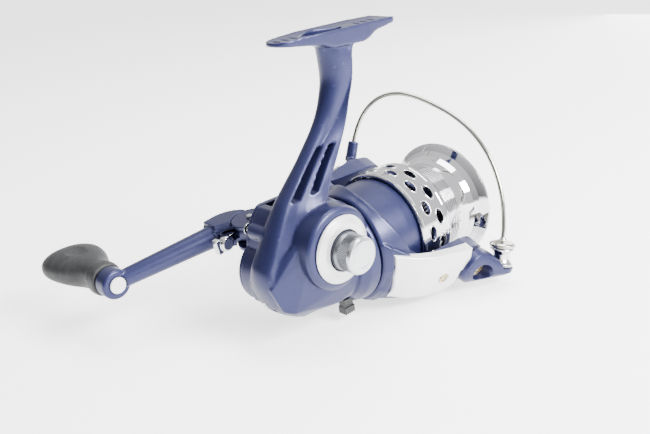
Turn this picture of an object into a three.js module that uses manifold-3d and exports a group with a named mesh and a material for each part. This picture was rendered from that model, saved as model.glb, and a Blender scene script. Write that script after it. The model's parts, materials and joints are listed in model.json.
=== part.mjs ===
// Spinning fishing reel, front drag, large size. Units are millimetres.
// The modelling axes are: X forward along the spool axis (x = 0 at the crank axis),
// Y to the handle side, Z up towards the rod, z = 0 on the spool axis.
// The whole group is then moved so that the origin is on the flat of the foot seat.
import * as THREE from 'three';
import { mergeVertices } from 'three/addons/utils/BufferGeometryUtils.js';
import { ConvexGeometry } from 'three/addons/geometries/ConvexGeometry.js';
import Module from 'manifold-3d';

const wasm = await Module();
wasm.setup();

// ---------------------------------------------------------------- dimensions
const SEAT_X = 30, SEAT_Z = 94;           // origin on the foot seat
const GAP = 0.3;                          // clearance between pieces that touch
const AXIS_Z = 11.2;                      // crank axis height above spool axis
const SHAFT_R = 1.75;                     // main shaft
const PINION_TEETH = 6, GEAR_TEETH = 24;  // 4 : 1
const PINION_ROOT = 2.35, PINION_TIP = 3.5;
const GEAR_OUT = 17.1, GEAR_IN = 15.1;
const OSC_X = -13.0, OSC_Z = 0.57;        // oscillation gear axis
const OSC_TEETH = 28, OSC_PINION_TEETH = 14, OSC_MODULE = 0.8;
const RIM_X = 17.8, RIM_R = 23.7;         // rear rim of the rotor
const CUP_R = 24.7;                       // rotor cup under the skirt
const SKIRT_X = 41.2, SKIRT_R = 26.8;     // rear rim of the spool skirt
const LIP_X = 87, LIP_R = 28.3;           // front lip of the spool
const TRAVEL = 7;                         // spool travel each way
const ARM_ANGLE = 25 * Math.PI / 180;     // line through the two bail pivots
const PIVOT_X = 63.4, PIVOT_R = 39.5;
const BAIL_TILT = 65 * Math.PI / 180;
const WIRE_R = 1.0;
const FOOT_X0 = -10, FOOT_X1 = 54.8;

// ---------------------------------------------------------------- helpers
const V = (x, y, z) => new THREE.Vector3(x, y, z);
const group = new THREE.Group();
group.position.set(-SEAT_X, 0, -SEAT_Z);

function solid(g) {
  const h = g.clone();
  h.deleteAttribute('normal'); h.deleteAttribute('uv');
  const m = mergeVertices(h, 1e-4);
  const tri = m.index.array, out = [];
  for (let i = 0; i < tri.length; i += 3) {
    const [a, b, c] = [tri[i], tri[i + 1], tri[i + 2]];
    if (a !== b && b !== c && a !== c) out.push(a, b, c);
  }
  const make = () => new wasm.Manifold(new wasm.Mesh({
    numProp: 3, vertProperties: new Float32Array(m.attributes.position.array),
    triVerts: new Uint32Array(out) }));
  const first = make();
  if (first.volume() >= 0) return first;
  for (let i = 0; i < out.length; i += 3) [out[i], out[i + 1]] = [out[i + 1], out[i]]; // faces out
  return make();
}
const join = (...a) => a.reduce((p, q) => p.add(q));
const cut = (a, ...b) => b.reduce((p, q) => p.subtract(q), a);
function geometry(m) {
  const r = m.getMesh(), n = r.numProp, v = new Float32Array(r.vertProperties.length / n * 3);
  for (let i = 0; i < v.length / 3; i++) for (let k = 0; k < 3; k++) v[3 * i + k] = r.vertProperties[n * i + k];
  const g = new THREE.BufferGeometry();
  g.setAttribute('position', new THREE.BufferAttribute(v, 3));
  g.setIndex(new THREE.BufferAttribute(new Uint32Array(r.triVerts), 1));
  g.computeVertexNormals();
  return g;
}
function piece(name, m, color, roughness, metalness) {
  const mesh = new THREE.Mesh(geometry(m), new THREE.MeshStandardMaterial({ color, roughness, metalness }));
  mesh.name = name;
  group.add(mesh);
  return m;
}
const mat = (g, m4) => { const h = g.clone(); h.applyMatrix4(m4); return solid(h); };
// frame with columns ex, ey, ez at origin o
function basis(o, ex, ey, ez) {
  return new THREE.Matrix4().makeBasis(ex, ey, ez).setPosition(o);
}
const ALONG_X = basis(V(0, 0, 0), V(0, 1, 0), V(1, 0, 0), V(0, 0, -1)); // lathe axis (Y) to X
function latheX(pts, n = 30, y = 0, z = 0) {   // pts: [x, r]
  const g = new THREE.LatheGeometry(pts.map(p => new THREE.Vector2(Math.max(p[1], 0), p[0])), n);
  return mat(g, new THREE.Matrix4().makeTranslation(0, y, z).multiply(ALONG_X));
}
function latheY(pts, n = 40, x = 0, z = 0) {   // pts: [y, r]
  const g = new THREE.LatheGeometry(pts.map(p => new THREE.Vector2(Math.max(p[1], 0), p[0])), n);
  return mat(g, new THREE.Matrix4().makeTranslation(x, 0, z));
}
const rod = (x0, x1, r, n = 16, y = 0, z = 0) => latheX([[x0, 0], [x0, r], [x1, r], [x1, 0]], n, y, z);
const tubeX = (x0, x1, ri, ro, n = 20, y = 0, z = 0) => latheX([[x0, ri], [x0, ro], [x1, ro], [x1, ri], [x0, ri]], n, y, z);
const rodY = (y0, y1, r, n = 20, x = 0, z = 0) => latheY([[y0, 0], [y0, r], [y1, r], [y1, 0]], n, x, z);
const tubeY = (y0, y1, ri, ro, n = 20, x = 0, z = 0) => latheY([[y0, ri], [y0, ro], [y1, ro], [y1, ri], [y0, ri]], n, x, z);
function box(x0, x1, y0, y1, z0, z1) {
  const g = new THREE.BoxGeometry(x1 - x0, y1 - y0, z1 - z0);
  g.translate((x0 + x1) / 2, (y0 + y1) / 2, (z0 + z1) / 2);
  return solid(g);
}
// polygon in XZ, extruded from y0 to y1
function plateXZ(pts, y0, y1) {
  const s = new THREE.Shape(pts.map(p => new THREE.Vector2(p[0], p[1])));
  const g = new THREE.ExtrudeGeometry(s, { depth: y1 - y0, bevelEnabled: false });
  return mat(g, basis(V(0, y1, 0), V(1, 0, 0), V(0, 0, 1), V(0, -1, 0)));
}
// polygon in XY, extruded from z0 to z1
function plateXY(pts, z0, z1) {
  const s = new THREE.Shape(pts.map(p => new THREE.Vector2(p[0], p[1])));
  const g = new THREE.ExtrudeGeometry(s, { depth: z1 - z0, bevelEnabled: false });
  return mat(g, new THREE.Matrix4().makeTranslation(0, 0, z0));
}
// polygon in YZ, extruded from x0 to x1
function plateYZ(pts, x0, x1) {
  const s = new THREE.Shape(pts.map(p => new THREE.Vector2(p[0], p[1])));
  const g = new THREE.ExtrudeGeometry(s, { depth: x1 - x0, bevelEnabled: false });
  return mat(g, basis(V(x0, 0, 0), V(0, 1, 0), V(0, 0, 1), V(1, 0, 0)));
}
// skin through rings of equal point count; end caps are fans
function loft(rings) {
  const n = rings[0].length, pos = [], idx = [];
  rings.forEach(r => r.forEach(p => pos.push(p.x, p.y, p.z)));
  for (let k = 0; k + 1 < rings.length; k++) for (let i = 0; i < n; i++) {
    const a = k * n + i, b = k * n + (i + 1) % n, c = a + n, d = b + n;
    idx.push(a, b, d, a, d, c);
  }
  const L = (rings.length - 1) * n;
  for (let i = 1; i + 1 < n; i++) { idx.push(0, i + 1, i); idx.push(L, L + i, L + i + 1); }
  const g = new THREE.BufferGeometry();
  g.setAttribute('position', new THREE.Float32BufferAttribute(pos, 3));
  g.setIndex(idx);
  return solid(g);
}
const hull = pts => solid(new ConvexGeometry(pts));
const clampUnit = v => Math.max(-1, Math.min(1, v));
// turn a solid made along the +Z arm direction to the direction of a rotor arm
function gearY(cx, cz, teeth, module_, y0, y1, bore) {  // spur gear, axis along Y
  const rp = teeth * module_ / 2, ra = rp + 0.75 * module_, rf = rp - 1.15 * module_, pts = [];
  for (let i = 0; i < teeth; i++) {
    const a = 2 * Math.PI * i / teeth, w = Math.PI / teeth;
    for (const [r, k] of [[rf, -0.56], [ra, -0.2], [ra, 0.2], [rf, 0.56]]) pts.push(new THREE.Vector2(r * Math.cos(a + k * w), r * Math.sin(a + k * w)));
  }
  const s = new THREE.Shape(pts);
  const g = new THREE.ExtrudeGeometry(s, { depth: y1 - y0, bevelEnabled: false });
  let m = mat(g, basis(V(cx, y1, cz), V(1, 0, 0), V(0, 0, 1), V(0, -1, 0)));
  if (bore) m = cut(m, rodY(y0 - 1, y1 + 1, bore, 20, cx, cz));
  return m;
}

// ---------------------------------------------------------------- colours
const BLUE = 0x3a3f86, WHITE = 0xe4e4e6, ALU = 0xc9cbce, DARK = 0x26262c, STEEL = 0x9a9ca0, CHROME = 0xd8dade, BLACK = 0x17171a, BRASS = 0xb08b4a;

// ---------------------------------------------------------------- housing
// one level of the stem: the side faces run from the front corner (xf, wf) to the crease (xc, wc),
// slightly full, and a half ellipse of depth d closes the rear
function stemRing(z, xf, wf, xc, wc, d, full = 0.5) {
  const p = [], c = Math.min(1.4, (xf - xc) * 0.4);
  const side = (k, s) => V(xf - c + (xc - xf + c) * k, s * (wf + (wc - wf) * k + full * 4 * k * (1 - k)), z);
  p.push(V(xf, -wf + c, z), V(xf, wf - c, z), side(0, 1), side(0.34, 1), side(0.67, 1));
  const n = 8;
  for (let i = 0; i <= n; i++) { const a = Math.PI / 2 + Math.PI * i / n; p.push(V(xc + d * Math.cos(a), wc * Math.sin(a), z)); }
  p.push(side(0.67, -1), side(0.34, -1), side(0, -1));
  return p;
}
const stem = loft([
  stemRing(-17.0, 12, 8.0, -14, 7.0, 2.0),
  stemRing(-12, 15, 11.0, -21.5, 9.6, 3.0),
  stemRing(-5, 15, 12.4, -24.6, 9.2, 4.0),
  stemRing(2, 15, 12.6, -27.0, 7.6, 3.6),
  stemRing(8, 15, 12.4, -27.2, 6.2, 2.8, 1.6),
  stemRing(13, 14.5, 12.0, -24.4, 6.0, 2.8, 2.2),
  stemRing(18, 12.5, 11.4, -21.4, 5.6, 2.8, 2.2),
  stemRing(24, 8.0, 10.8, -17.8, 5.0, 2.8, 2.0),
  stemRing(28, 3.1, 10.2, -15.2, 4.6, 2.8, 1.6),
  stemRing(32, 5.1, 9.4, -12.2, 4.2, 3.0, 1.0),
  stemRing(38, 7.9, 8.8, -6.4, 3.9, 3.2),
  stemRing(44, 12.1, 8.2, -0.1, 3.6, 3.8),
  stemRing(50, 15.8, 7.8, 6.2, 3.8, 4.8),
  stemRing(56, 19.2, 7.5, 12.5, 4.1, 6.0, 0.2),
  stemRing(62, 21.7, 7.4, 17.6, 4.8, 7.0, 0),
  stemRing(68, 23.1, 7.5, 21.2, 5.8, 7.8, 0),
  stemRing(74, 24.7, 7.7, 23.6, 6.8, 8.2, 0),
  stemRing(80, 25.5, 7.8, 24.2, 7.4, 8.6, 0),
  stemRing(86, 26.8, 7.8, 23.4, 7.0, 8.6, 0),
  stemRing(92, 31.0, 7.0, 27.6, 6.4, 15.0, 0),
]);
const gearCase = (() => {                       // round front, boat-shaped tail with a sloping shoulder
  const p = [];
  for (let i = 0; i < 30; i++) { const a = 2 * Math.PI * i / 30; p.push(V(9.5, 18.6 * Math.cos(a), 18.6 * Math.sin(a) - 1)); }
  for (const s of [-1, 1]) p.push(V(-26.6, 6.4 * s, 6.2), V(-12.0, 14.4 * s, 13.2), V(8, 15.0 * s, 13.2), V(-28.8, 3.6 * s, 6.6), V(-29.6, 6.8 * s, 1.0),
    V(-14.6, 11.8 * s, 19.4), V(6, 12.6 * s, 19.4), V(-22.4, 11.6 * s, -10.4), V(-26.2, 9.4 * s, -9.0), V(-20.4, 9.4 * s, -13.6), V(0, 13.4 * s, -14.6), V(0, 9.0 * s, -17.4));
  return hull(p);
})();
const foot = (() => {
  const o = [];
  // outline: rounded tongue behind, tapered nose with chamfered corners ahead
  for (let i = 0; i <= 10; i++) { const a = Math.PI / 2 + Math.PI * i / 10; o.push([FOOT_X0 + 7 + 7 * Math.cos(a), 6.4 * Math.sin(a)]); }
  o.push([10, -7.9], [36, -7.9], [51.8, -6.9], [FOOT_X1, -4.6], [FOOT_X1, 4.6], [51.8, 6.9], [36, 7.9], [10, 7.9]);
  let f = plateXY(o, 86, 95.4);
  // side profile: thin at both ends, deeper over the stem
  const side = [[FOOT_X0 - 1, 96], [FOOT_X0 - 1, 92.6], [-2, 91.6], [9, 90.4], [14, 88.6], [33, 87.6], [40, 90.6], [FOOT_X1 + 1, 92.6], [FOOT_X1 + 1, 96]];
  f = f.intersect(plateXZ(side, -9, 9));
  // concave saddle with a flat strip along its bottom
  const sad = [[-2.5, SEAT_Z]];
  for (let i = 1; i <= 6; i++) sad.push([-2.5 - i * 1.1, SEAT_Z + 0.042 * i * i]);
  sad.push([-9.1, 97], [9.1, 97]);
  for (let i = 6; i >= 1; i--) sad.push([2.5 + i * 1.1, SEAT_Z + 0.042 * i * i]);
  sad.push([2.5, SEAT_Z]);
  return cut(f, plateYZ(sad, FOOT_X0 - 2, FOOT_X1 + 2));
})();
let housing = join(stem, gearCase, foot,
  latheX([[8, 0], [8, 20], [12, 22.4], [16.2, 23.4], [17.2, 23.2], [17.2, 19.8], [19.4, 19.8], [19.4, 14.6], [22.4, 14.6], [24, 11.2], [38.6, 11.2], [38.6, 0]], 30),
  latheY([[-17.8, 0], [-17.8, 15.2], [-16.6, 17.6], [-8, 17.8], [-8, 0]], 26, 0, AXIS_Z),
  rodY(4, 13.5, 22.6, 28, 0, AXIS_Z).intersect(box(-40, 13.9, 0, 20, -40, 28)), rodY(4, 13.5, 15.4, 22, OSC_X, OSC_Z),
  latheY([[-9.6, 0], [-9.6, 14.4], [-6.2, 18.4], [-4, 18.9], [13.5, 18.9], [13.5, 0]], 28, 0, AXIS_Z).intersect(box(-40, 15.6, -20, 20, -40, 28)));
// flats for the side cover and for the trim ring
housing = cut(housing, join(rodY(13.5, 40, 22.7, 28, 0, AXIS_Z).intersect(box(-40, 13.9, 0, 60, -40, 28)), rodY(13.5, 40, 15.5, 22, OSC_X, OSC_Z)),
  rodY(-40, -17.8, 14.8, 28, 0, AXIS_Z));
// gear chamber, open to the handle side
housing = cut(housing,
  latheY([[-8.6, 0], [-8.6, 13.6], [-5.4, 17.5], [14, 17.5], [14, 0]], 28, 0, AXIS_Z), rodY(-2.6, 14, 20.0, 28, 0, AXIS_Z).intersect(box(-40, 12.8, -3, 15, -40, 28)), rodY(-2.6, 14, 13.2, 22, OSC_X, OSC_Z),
  rodY(-12.4, -8.5, 9.5, 28, 0, AXIS_Z),
  box(-28, 3, -2.8, 14, -10.9, 5.6), rod(0, 6.3, 1.4, 16, 1.0, -8.3), box(-28.2, -9, -2.8, 4.6, -11.4, 8.0),
  rodY(-18.4, -12.2, 7.8, 20, 0, AXIS_Z),                                  // seat of the right bearing
  latheX([[8, 0], [8, 5.4], [23.7, 5.4], [23.7, 9.3], [29.5, 9.3], [29.5, 9.6], [39, 9.6], [39, 0]], 28),
  latheX([[10, 0], [10, 12.6], [18.4, 12.6], [19.6, 5], [19.6, 0]], 28));
// pocket in the top of the foot, short cross grooves at both ends
const lens = [];
for (let i = 0; i <= 8; i++) lens.push([0.5 + 26 * i / 8, -5.2 * Math.sin(Math.PI * (0.06 + 0.88 * i / 8))]);
for (let i = 8; i >= 0; i--) lens.push([0.5 + 26 * i / 8, 5.2 * Math.sin(Math.PI * (0.06 + 0.88 * i / 8))]);
housing = cut(housing, plateXY(lens.map(p => [p[0] * 0.86 + 4.6, p[1]]), 90.2, 97));
housing = join(housing, box(4.4, 29, -6, 6, 89.4, 90.6));
for (const x of [-6.8, -2.6, 1.6, 36.2, 40.5, 44.8]) housing = cut(housing, box(x - 0.65, x + 0.65, -2.4, 2.4, SEAT_Z - 0.9, 96));
// two long slanted windows through the flat sides of the stem
const win = (a, b) => plateXZ([[a[0] - 1.7, a[1]], [a[0] + 2.2, a[1] + 0.8], [b[0] + 1.5, b[1]], [b[0] - 1.9, b[1] - 1.2]], -20, 20);
housing = cut(housing, win([-10.6, 31.6], [7.0, 51.2]), win([-2.6, 33.2], [11.6, 51.4]));
// screw bosses for the side cover
const COVER_SCREWS = [[10.4, 28.0], [-19.6, 19.2], [6.6, -7.6]];
for (const [x, z] of COVER_SCREWS) housing = cut(join(housing, rodY(3, 13.4, 3.2, 20, x, z)), rodY(4.4, 14, 1.5, 16, x, z));
// lever slot under the body
housing = cut(housing, box(6.4, 13.2, -9.6, -2.6, -25, -15.4));
piece('housing', housing, BLUE, 0.38, 0.55);

// side cover on the handle side, two lobes, with the left bearing seat
let cover = join(latheY([[13.8, 0], [13.8, 22.4], [15.2, 22.4], [16.4, 20.6], [16.4, 0]], 26, 0, AXIS_Z).intersect(box(-40, 13.6, 10, 20, -40, 28)),
  latheY([[13.8, 0], [13.8, 15.2], [15.2, 15.2], [16.4, 13.6], [16.4, 0]], 40, OSC_X, OSC_Z),
  latheY([[14, 0], [14, 12.4], [20.2, 10.4], [20.2, 0]], 40, 0, AXIS_Z));
cover = cut(cover, rodY(15.3, 21, 7.8, 20, 0, AXIS_Z), rodY(13, 16, 5.2, 20, 0, AXIS_Z), rodY(13, 15.2, 2.3, 24, OSC_X, OSC_Z));
for (const [x, z] of COVER_SCREWS) cover = cut(cover, rodY(13, 17, 1.5, 16, x, z), rodY(15.2, 17, 2.9, 20, x, z));
piece('side_cover', cover, BLUE, 0.38, 0.55);
COVER_SCREWS.forEach(([x, z], i) => {
  let s = latheY([[6.4, 0], [6.4, 1.2], [15.5, 1.2], [15.5, 2.5], [16.6, 2.2], [16.6, 0]], 16, x, z);
  s = cut(s, box(x - 1.5, x + 1.5, 16.0, 17, z - 0.3, z + 0.3), box(x - 0.3, x + 0.3, 16.0, 17, z - 1.5, z + 1.5));
  piece('cover_screw_' + (i + 1), s, STEEL, 0.3, 0.9);
});
// trim ring on the free side, conical, fixed to the housing
piece('bezel_ring', latheY([[-18.1, 8.6], [-18.1, 14.4], [-19.4, 13.6], [-20.4, 11.2], [-20.4, 8.6], [-18.1, 8.6]], 26, 0, AXIS_Z), WHITE, 0.3, 0.3);
piece('drive_bearing_right', tubeY(-17.6, -12.7, 4.08, 7.5, 20, 0, AXIS_Z), STEEL, 0.3, 0.9);
piece('drive_bearing_left', tubeY(15.6, 19.8, 4.08, 7.5, 20, 0, AXIS_Z), STEEL, 0.3, 0.9);
piece('pinion_bearing', tubeX(24.0, 29.2, 3.68, 9.0, 20), STEEL, 0.3, 0.9);
piece('oneway_clutch', tubeX(29.8, 36.6, 3.9, 9.3, 20), BRASS, 0.35, 0.8);
piece('clutch_retainer', tubeX(36.9, 38.3, 5.6, 9.3, 20), STEEL, 0.35, 0.8);
piece('slider_rail', rod(-27.7, 6.0, 1.1, 16, 1.0, -8.3), STEEL, 0.25, 0.9);

// ---------------------------------------------------------------- crank train (turns about the crank axis)
let drive = join(rodY(-27.0, 26.2, 4.0, 20, 0, AXIS_Z), latheY([[-7.2, 0], [-7.2, 14.0], [-5.0, GEAR_OUT], [-4.1, GEAR_OUT], [-4.1, 0]], 40, 0, AXIS_Z), rodY(-8.6, -4.1, 7.0, 20, 0, AXIS_Z));
for (let i = 0; i < GEAR_TEETH; i++) {
  const g = new THREE.BoxGeometry(GEAR_OUT - GEAR_IN + 0.6, 1.55, 0.95);
  const xc = Math.sqrt(((GEAR_OUT + GEAR_IN) / 2) ** 2 - AXIS_Z ** 2);
  g.translate(xc - 0.15, -3.475, -AXIS_Z);
  drive = drive.add(mat(g, new THREE.Matrix4().makeTranslation(0, 0, AXIS_Z).multiply(new THREE.Matrix4().makeRotationY(2 * Math.PI * i / GEAR_TEETH))));
}
drive = join(drive, gearY(0, AXIS_Z, OSC_PINION_TEETH, OSC_MODULE, 5.4, 8.6));
drive = cut(drive, rodY(-8, -3, 2.4, 20, 0, AXIS_Z + 11), rodY(-8, -3, 2.4, 20, 9.5, AXIS_Z - 5.5), rodY(-8, -3, 2.4, 20, -9.5, AXIS_Z - 5.5));
piece('drive_gear', drive, BRASS, 0.35, 0.85);

// knurled cap on the free side
let cap = latheY([[-29.9, 0], [-30.1, 6.2], [-29.6, 7.4], [-28.4, 7.8], [-27.6, 7.8], [-27.6, 7.2], [-23.2, 7.2], [-23.2, 7.8], [-21.6, 8.0], [-20.8, 7.4], [-20.8, 4.4], [-27.4, 4.4], [-27.4, 0]], 24, 0, AXIS_Z);
piece('crank_cap', cap, ALU, 0.3, 0.9);

// handle frame: S radial from the crank axis, T along the crank axis (as Y), K across both
const O = V(0, 0, AXIS_Z), E1 = V(-63.0, 0, -11.2).normalize();
const E3 = new THREE.Vector3().crossVectors(V(0, 1, 0), E1).normalize().negate();   // E1 x E3 = Y
const HK = new THREE.Vector3().crossVectors(E1, V(0, 1, 0)).normalize();            // K, right-handed with S and T
const HF = basis(O, E1, V(0, 1, 0), HK);
const hBox = (s0, s1, t0, t1, k0, k1) => { const g = new THREE.BoxGeometry(s1 - s0, t1 - t0, k1 - k0); g.translate((s0 + s1) / 2, (t0 + t1) / 2, (k0 + k1) / 2); return mat(g, HF); };
const hCylK = (s, t, k0, k1, r, n = 18) => { const g = new THREE.CylinderGeometry(r, r, k1 - k0, n); g.rotateX(Math.PI / 2); g.translate(s, t, (k0 + k1) / 2); return mat(g, HF); };
const hCylT = (s, t0, t1, r, n = 20, k = 0) => { const g = new THREE.CylinderGeometry(r, r, t1 - t0, n); g.translate(s, (t0 + t1) / 2, k); return mat(g, HF); };
const hPlate = (pts, k0, k1) => {                 // polygon in (S, T), extruded across
  const sh = new THREE.Shape(pts.map(p => new THREE.Vector2(p[0], p[1])));
  const g = new THREE.ExtrudeGeometry(sh, { depth: k1 - k0, bevelEnabled: false }); g.translate(0, 0, k0);
  return mat(g, HF);
};
const HINGE_S = 5.8, HINGE_T = 31.5;
piece('handle_shank', cut(latheY([[20.6, 0], [20.6, 6.6], [23.4, 6.4], [23.8, 5.0], [24.6, 5.0], [24.6, 0]], 26, 0, AXIS_Z), rodY(20, 25, 4.3, 20, 0, AXIS_Z)), DARK, 0.35, 0.6);
// bracket on the shaft: hub, web and two cheeks that hold the hinge pin
const cheek = (k0, k1) => hCylK(HINGE_S, HINGE_T, k0, k1, 8.4, 28).add(hBox(-0.8, 12.6, 25.2, HINGE_T, k0, k1));
let bracket = join(rodY(24.9, 26.9, 7.2, 24, 0, AXIS_Z), hBox(-4.0, 12.6, 24.9, 26.9, -7.0, 7.0), cheek(4.6, 7.0), cheek(-7.0, -4.6));
bracket = cut(bracket, hCylK(HINGE_S, HINGE_T, -9, 9, 1.32, 16), rodY(20, 26.5, 4.3, 20, 0, AXIS_Z));
bracket = cut(bracket, hCylK(HINGE_S, HINGE_T, -4.58, 4.58, 5.2, 28), box(-30, 30, 10, 24.9, -20, 40));
piece('handle_bracket', bracket, BLUE, 0.35, 0.6);
piece('hinge_pin', hCylK(HINGE_S, HINGE_T, -7.4, 7.4, 1.25, 16), CHROME, 0.15, 1);

// folding arm: tongue, elbow, rod and the eye that holds the knob
const KS = 64.0, KT = 57.2;                        // eye centre
const rodDir = V(KS - 17, KT - 44.8, 0).normalize();
const HX = p => p.clone().applyMatrix4(HF);
function rodAB(a, b, r, n = 16, r1 = r) {
  const d = b.clone().sub(a), g = new THREE.CylinderGeometry(r1, r, d.length(), n);
  return mat(g, new THREE.Matrix4().compose(a.clone().add(b).multiplyScalar(0.5), new THREE.Quaternion().setFromUnitVectors(V(0, 1, 0), d.clone().normalize()), V(1, 1, 1)));
}
const elbow = [[1.6, 31.5], [1.6, 37.0], [2.2, 41.2], [4.4, 45.2], [8.0, 48.2], [12.6, 49.8], [19.0, 50.4], [19.8, 40.6], [15.6, 39.2], [12.6, 37.4], [10.6, 34.6], [10.0, 31.5]];
let arm = join(hPlate(elbow, -4.3, 4.3), hCylK(HINGE_S, HINGE_T, -4.3, 4.3, 4.2, 24),
  cut(hPlate([[1.4, 38.0], [2.2, 41.2], [4.4, 45.2], [8.0, 48.2], [12.6, 49.8], [18.2, 50.2], [18.6, 41.2], [14.4, 38.6], [12.6, 37.0]], -6.4, 6.4), hCylK(HINGE_S, HINGE_T, -9, 9, 8.9, 28)),
  rodAB(HX(V(15, 44.3, 0)), HX(V(KS - 3, KT - 0.79, 0)), 5.0, 20, 3.9));
arm = cut(arm, hCylK(HINGE_S, HINGE_T, -6, 6, 1.33, 16), hBox(11.0, 20.2, 30, 43.2, -2.3, 2.3));
const KX = O.x + E1.x * KS, KZ = O.z + E1.z * KS, KY = KT;
arm = cut(join(arm, latheY([[KY - 3.4, 0], [KY - 3.4, 5.6], [KY - 2.6, 6.6], [KY + 3.6, 6.6], [KY + 4.4, 5.6], [KY + 4.4, 0]], 28, KX, KZ)), rodY(KY - 6, KY + 6, 2.62, 24, KX, KZ));
arm = cut(arm, rodY(KY - 8, KY - 3.4, 4.2, 20, KX, KZ));
piece('handle_arm', arm, BLUE, 0.3, 0.6);
// latch that locks the arm in its bracket: slide in the slot of the elbow, round thumb button towards the body
piece('fold_latch', join(hBox(13.2, 16.6, 35.6, 42.6, -1.9, 1.9), hBox(13.2, 23.4, 35.0, 37.0, -1.9, 1.9), hCylT(19.4, 32.2, 36.6, 3.5, 20), hBox(22.0, 24.4, 33.8, 37.0, -3.4, 3.4)), CHROME, 0.15, 1);
// knob spindle, riveted in the eye
piece('knob_spindle', join(rodY(KY - 4.0, KY + 37, 2.3, 24, KX, KZ), rodY(KY - 4.3, KY - 3.7, 3.6, 24, KX, KZ)), WHITE, 0.3, 0.5);
// soft paddle knob, bored through for the spindle
const KN = KY + 5.0;
let knob = (() => {
  const st = [[0, 7, 7], [4, 7.2, 7.2], [8, 6.6, 6.6], [12, 7.4, 6.6], [18, 10.8, 6.9], [25, 13.2, 7.0], [32, 14.0, 6.7], [37, 12.6, 5.8], [40.5, 8.4, 4.2]];
  return loft(st.map(([y, a, b]) => { const r = []; for (let i = 0; i < 24; i++) { const t = 2 * Math.PI * i / 24; r.push(V(KX + a * Math.cos(t), KN + y, KZ + b * Math.sin(t))); } return r; }));
})();
knob = cut(knob, rodY(KN - 1, KN + 36, 2.38, 24, KX, KZ));
piece('handle_knob', knob, BLACK, 0.6, 0.0);

// ---------------------------------------------------------------- rotor (turns about the spool axis)
let pinion = join(rod(10.2, 18.6, PINION_ROOT, 20), rod(18.2, 47.0, 3.6, 20));
for (let i = 0; i < PINION_TEETH; i++) {
  const g = new THREE.BoxGeometry(6.6, 1.3, 0.95);
  g.translate(13.4, -(PINION_TIP - 0.65), 0);
  pinion = pinion.add(mat(g, new THREE.Matrix4().makeRotationX(2 * Math.PI * (i + 0.5) / PINION_TEETH)));
}
pinion = cut(pinion, rod(9, 51, SHAFT_R + 0.08, 20));
piece('pinion_gear', pinion, BRASS, 0.35, 0.85);

// direction frames of the two rotor arms: R outward, T sideways
const A_NEAR = V(0, -Math.cos(ARM_ANGLE), -Math.sin(ARM_ANGLE)), A_FAR = A_NEAR.clone().negate();
const frameOf = a => basis(V(0, 0, 0), V(1, 0, 0), a, new THREE.Vector3().crossVectors(V(1, 0, 0), a));
const aBox = (a, x0, x1, r0, r1, t0, t1) => { const g = new THREE.BoxGeometry(x1 - x0, r1 - r0, t1 - t0); g.translate((x0 + x1) / 2, (r0 + r1) / 2, (t0 + t1) / 2); return mat(g, frameOf(a)); };
const aCyl = (a, x, t, r0, r1, rad, n = 18, rad1 = rad) => { const g = new THREE.CylinderGeometry(rad1, rad, r1 - r0, n); g.translate(x, (r0 + r1) / 2, t); return mat(g, frameOf(a)); };
const aPlate = (a, pts, t0, t1) => {   // polygon in (x, R), extruded sideways
  const s = new THREE.Shape(pts.map(p => new THREE.Vector2(p[0], p[1])));
  const g = new THREE.ExtrudeGeometry(s, { depth: t1 - t0, bevelEnabled: false }); g.translate(0, 0, t0);
  return mat(g, frameOf(a));
};
const aPlan = (a, pts, r0, r1) => {   // polygon in (x, T), extruded outward
  const s = new THREE.Shape(pts.map(p => new THREE.Vector2(p[0], -p[1])));
  const g = new THREE.ExtrudeGeometry(s, { depth: r1 - r0, bevelEnabled: false });
  return mat(g, frameOf(a).multiply(basis(V(0, r0, 0), V(1, 0, 0), V(0, 0, -1), V(0, 1, 0))));
};
const armSide = [[18.4, 18.0], [18.4, 23.6], [24, 27.4], [32, 32.6], [42, 36.2], [54, 38.6], [57, 38.8], [57, 36.6], [70.6, 36.6], [70.6, 29.4], [60, 28.9], [33.4, 28.6], [33.0, 22.0]];
const armPlan = [[18.2, -16], [24, -14.5], [32, -11.8], [44, -10.6], [60, -10.2], [67, -8.6], [70.8, -5], [70.8, 5], [67, 8.6], [60, 10.2], [44, 10.6], [32, 11.8], [24, 14.5], [18.2, 16]];
let rotor = latheX([[RIM_X, 22.0], [RIM_X, RIM_R - 0.4], [RIM_X + 0.6, RIM_R], [34, 24.6], [36, CUP_R], [46.6, CUP_R], [48.4, 23.4], [48.4, 0], [44.0, 0], [44.0, 22.4], [RIM_X, 22.0]], 30);
for (const a of [A_NEAR, A_FAR]) {
  let m = aPlate(a, armSide, -17, 17).intersect(aPlan(a, armPlan, 10, 45));
  // round the outside of the arm about the spool axis
  m = m.intersect(latheX([[18, 0], [18, 24.2], [24, 28.4], [32, 33.4], [42, 37.2], [54, 40.2], [60, 41], [71, 41], [71, 0]], 30));
  rotor = rotor.add(m);
}
rotor = cut(rotor, latheX([[17, 0], [17, 22.0], [43.9, 22.4], [43.9, 0]], 30),
  latheX([[32.9, 25.3], [32.9, 28.9], [72, 28.9], [72, 25.3], [32.9, 25.3]], 30), rod(40, 50, 3.9, 20));
for (const a of [A_NEAR, A_FAR]) rotor = cut(rotor,
  aPlan(a, [[36, -7.6], [55.2, -7.6], [55.2, 7.6], [36, 7.6]], 31.6, 44),      // spring chamber
  aBox(a, 22.4, 57.2, 24.8, 46, -17, 17).intersect(aPlate(a, [[22.4, 25.5], [29.8, 30.4], [34, 33.2], [42, 35.4], [58, 37.0], [58, 46], [22.4, 46]], -17, 17)),
  aCyl(a, PIVOT_X, 0, 31.5, 38, 1.6, 20), aCyl(a, 44, 0, 29.8, 33, 0.9, 14));
piece('rotor', rotor, BLUE, 0.35, 0.6);
piece('rotor_nut', cut(tubeX(48.7, 51.2, 3.9, 6.6, 6), rod(48, 52, 3.9, 20)), BRASS, 0.35, 0.8);
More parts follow.
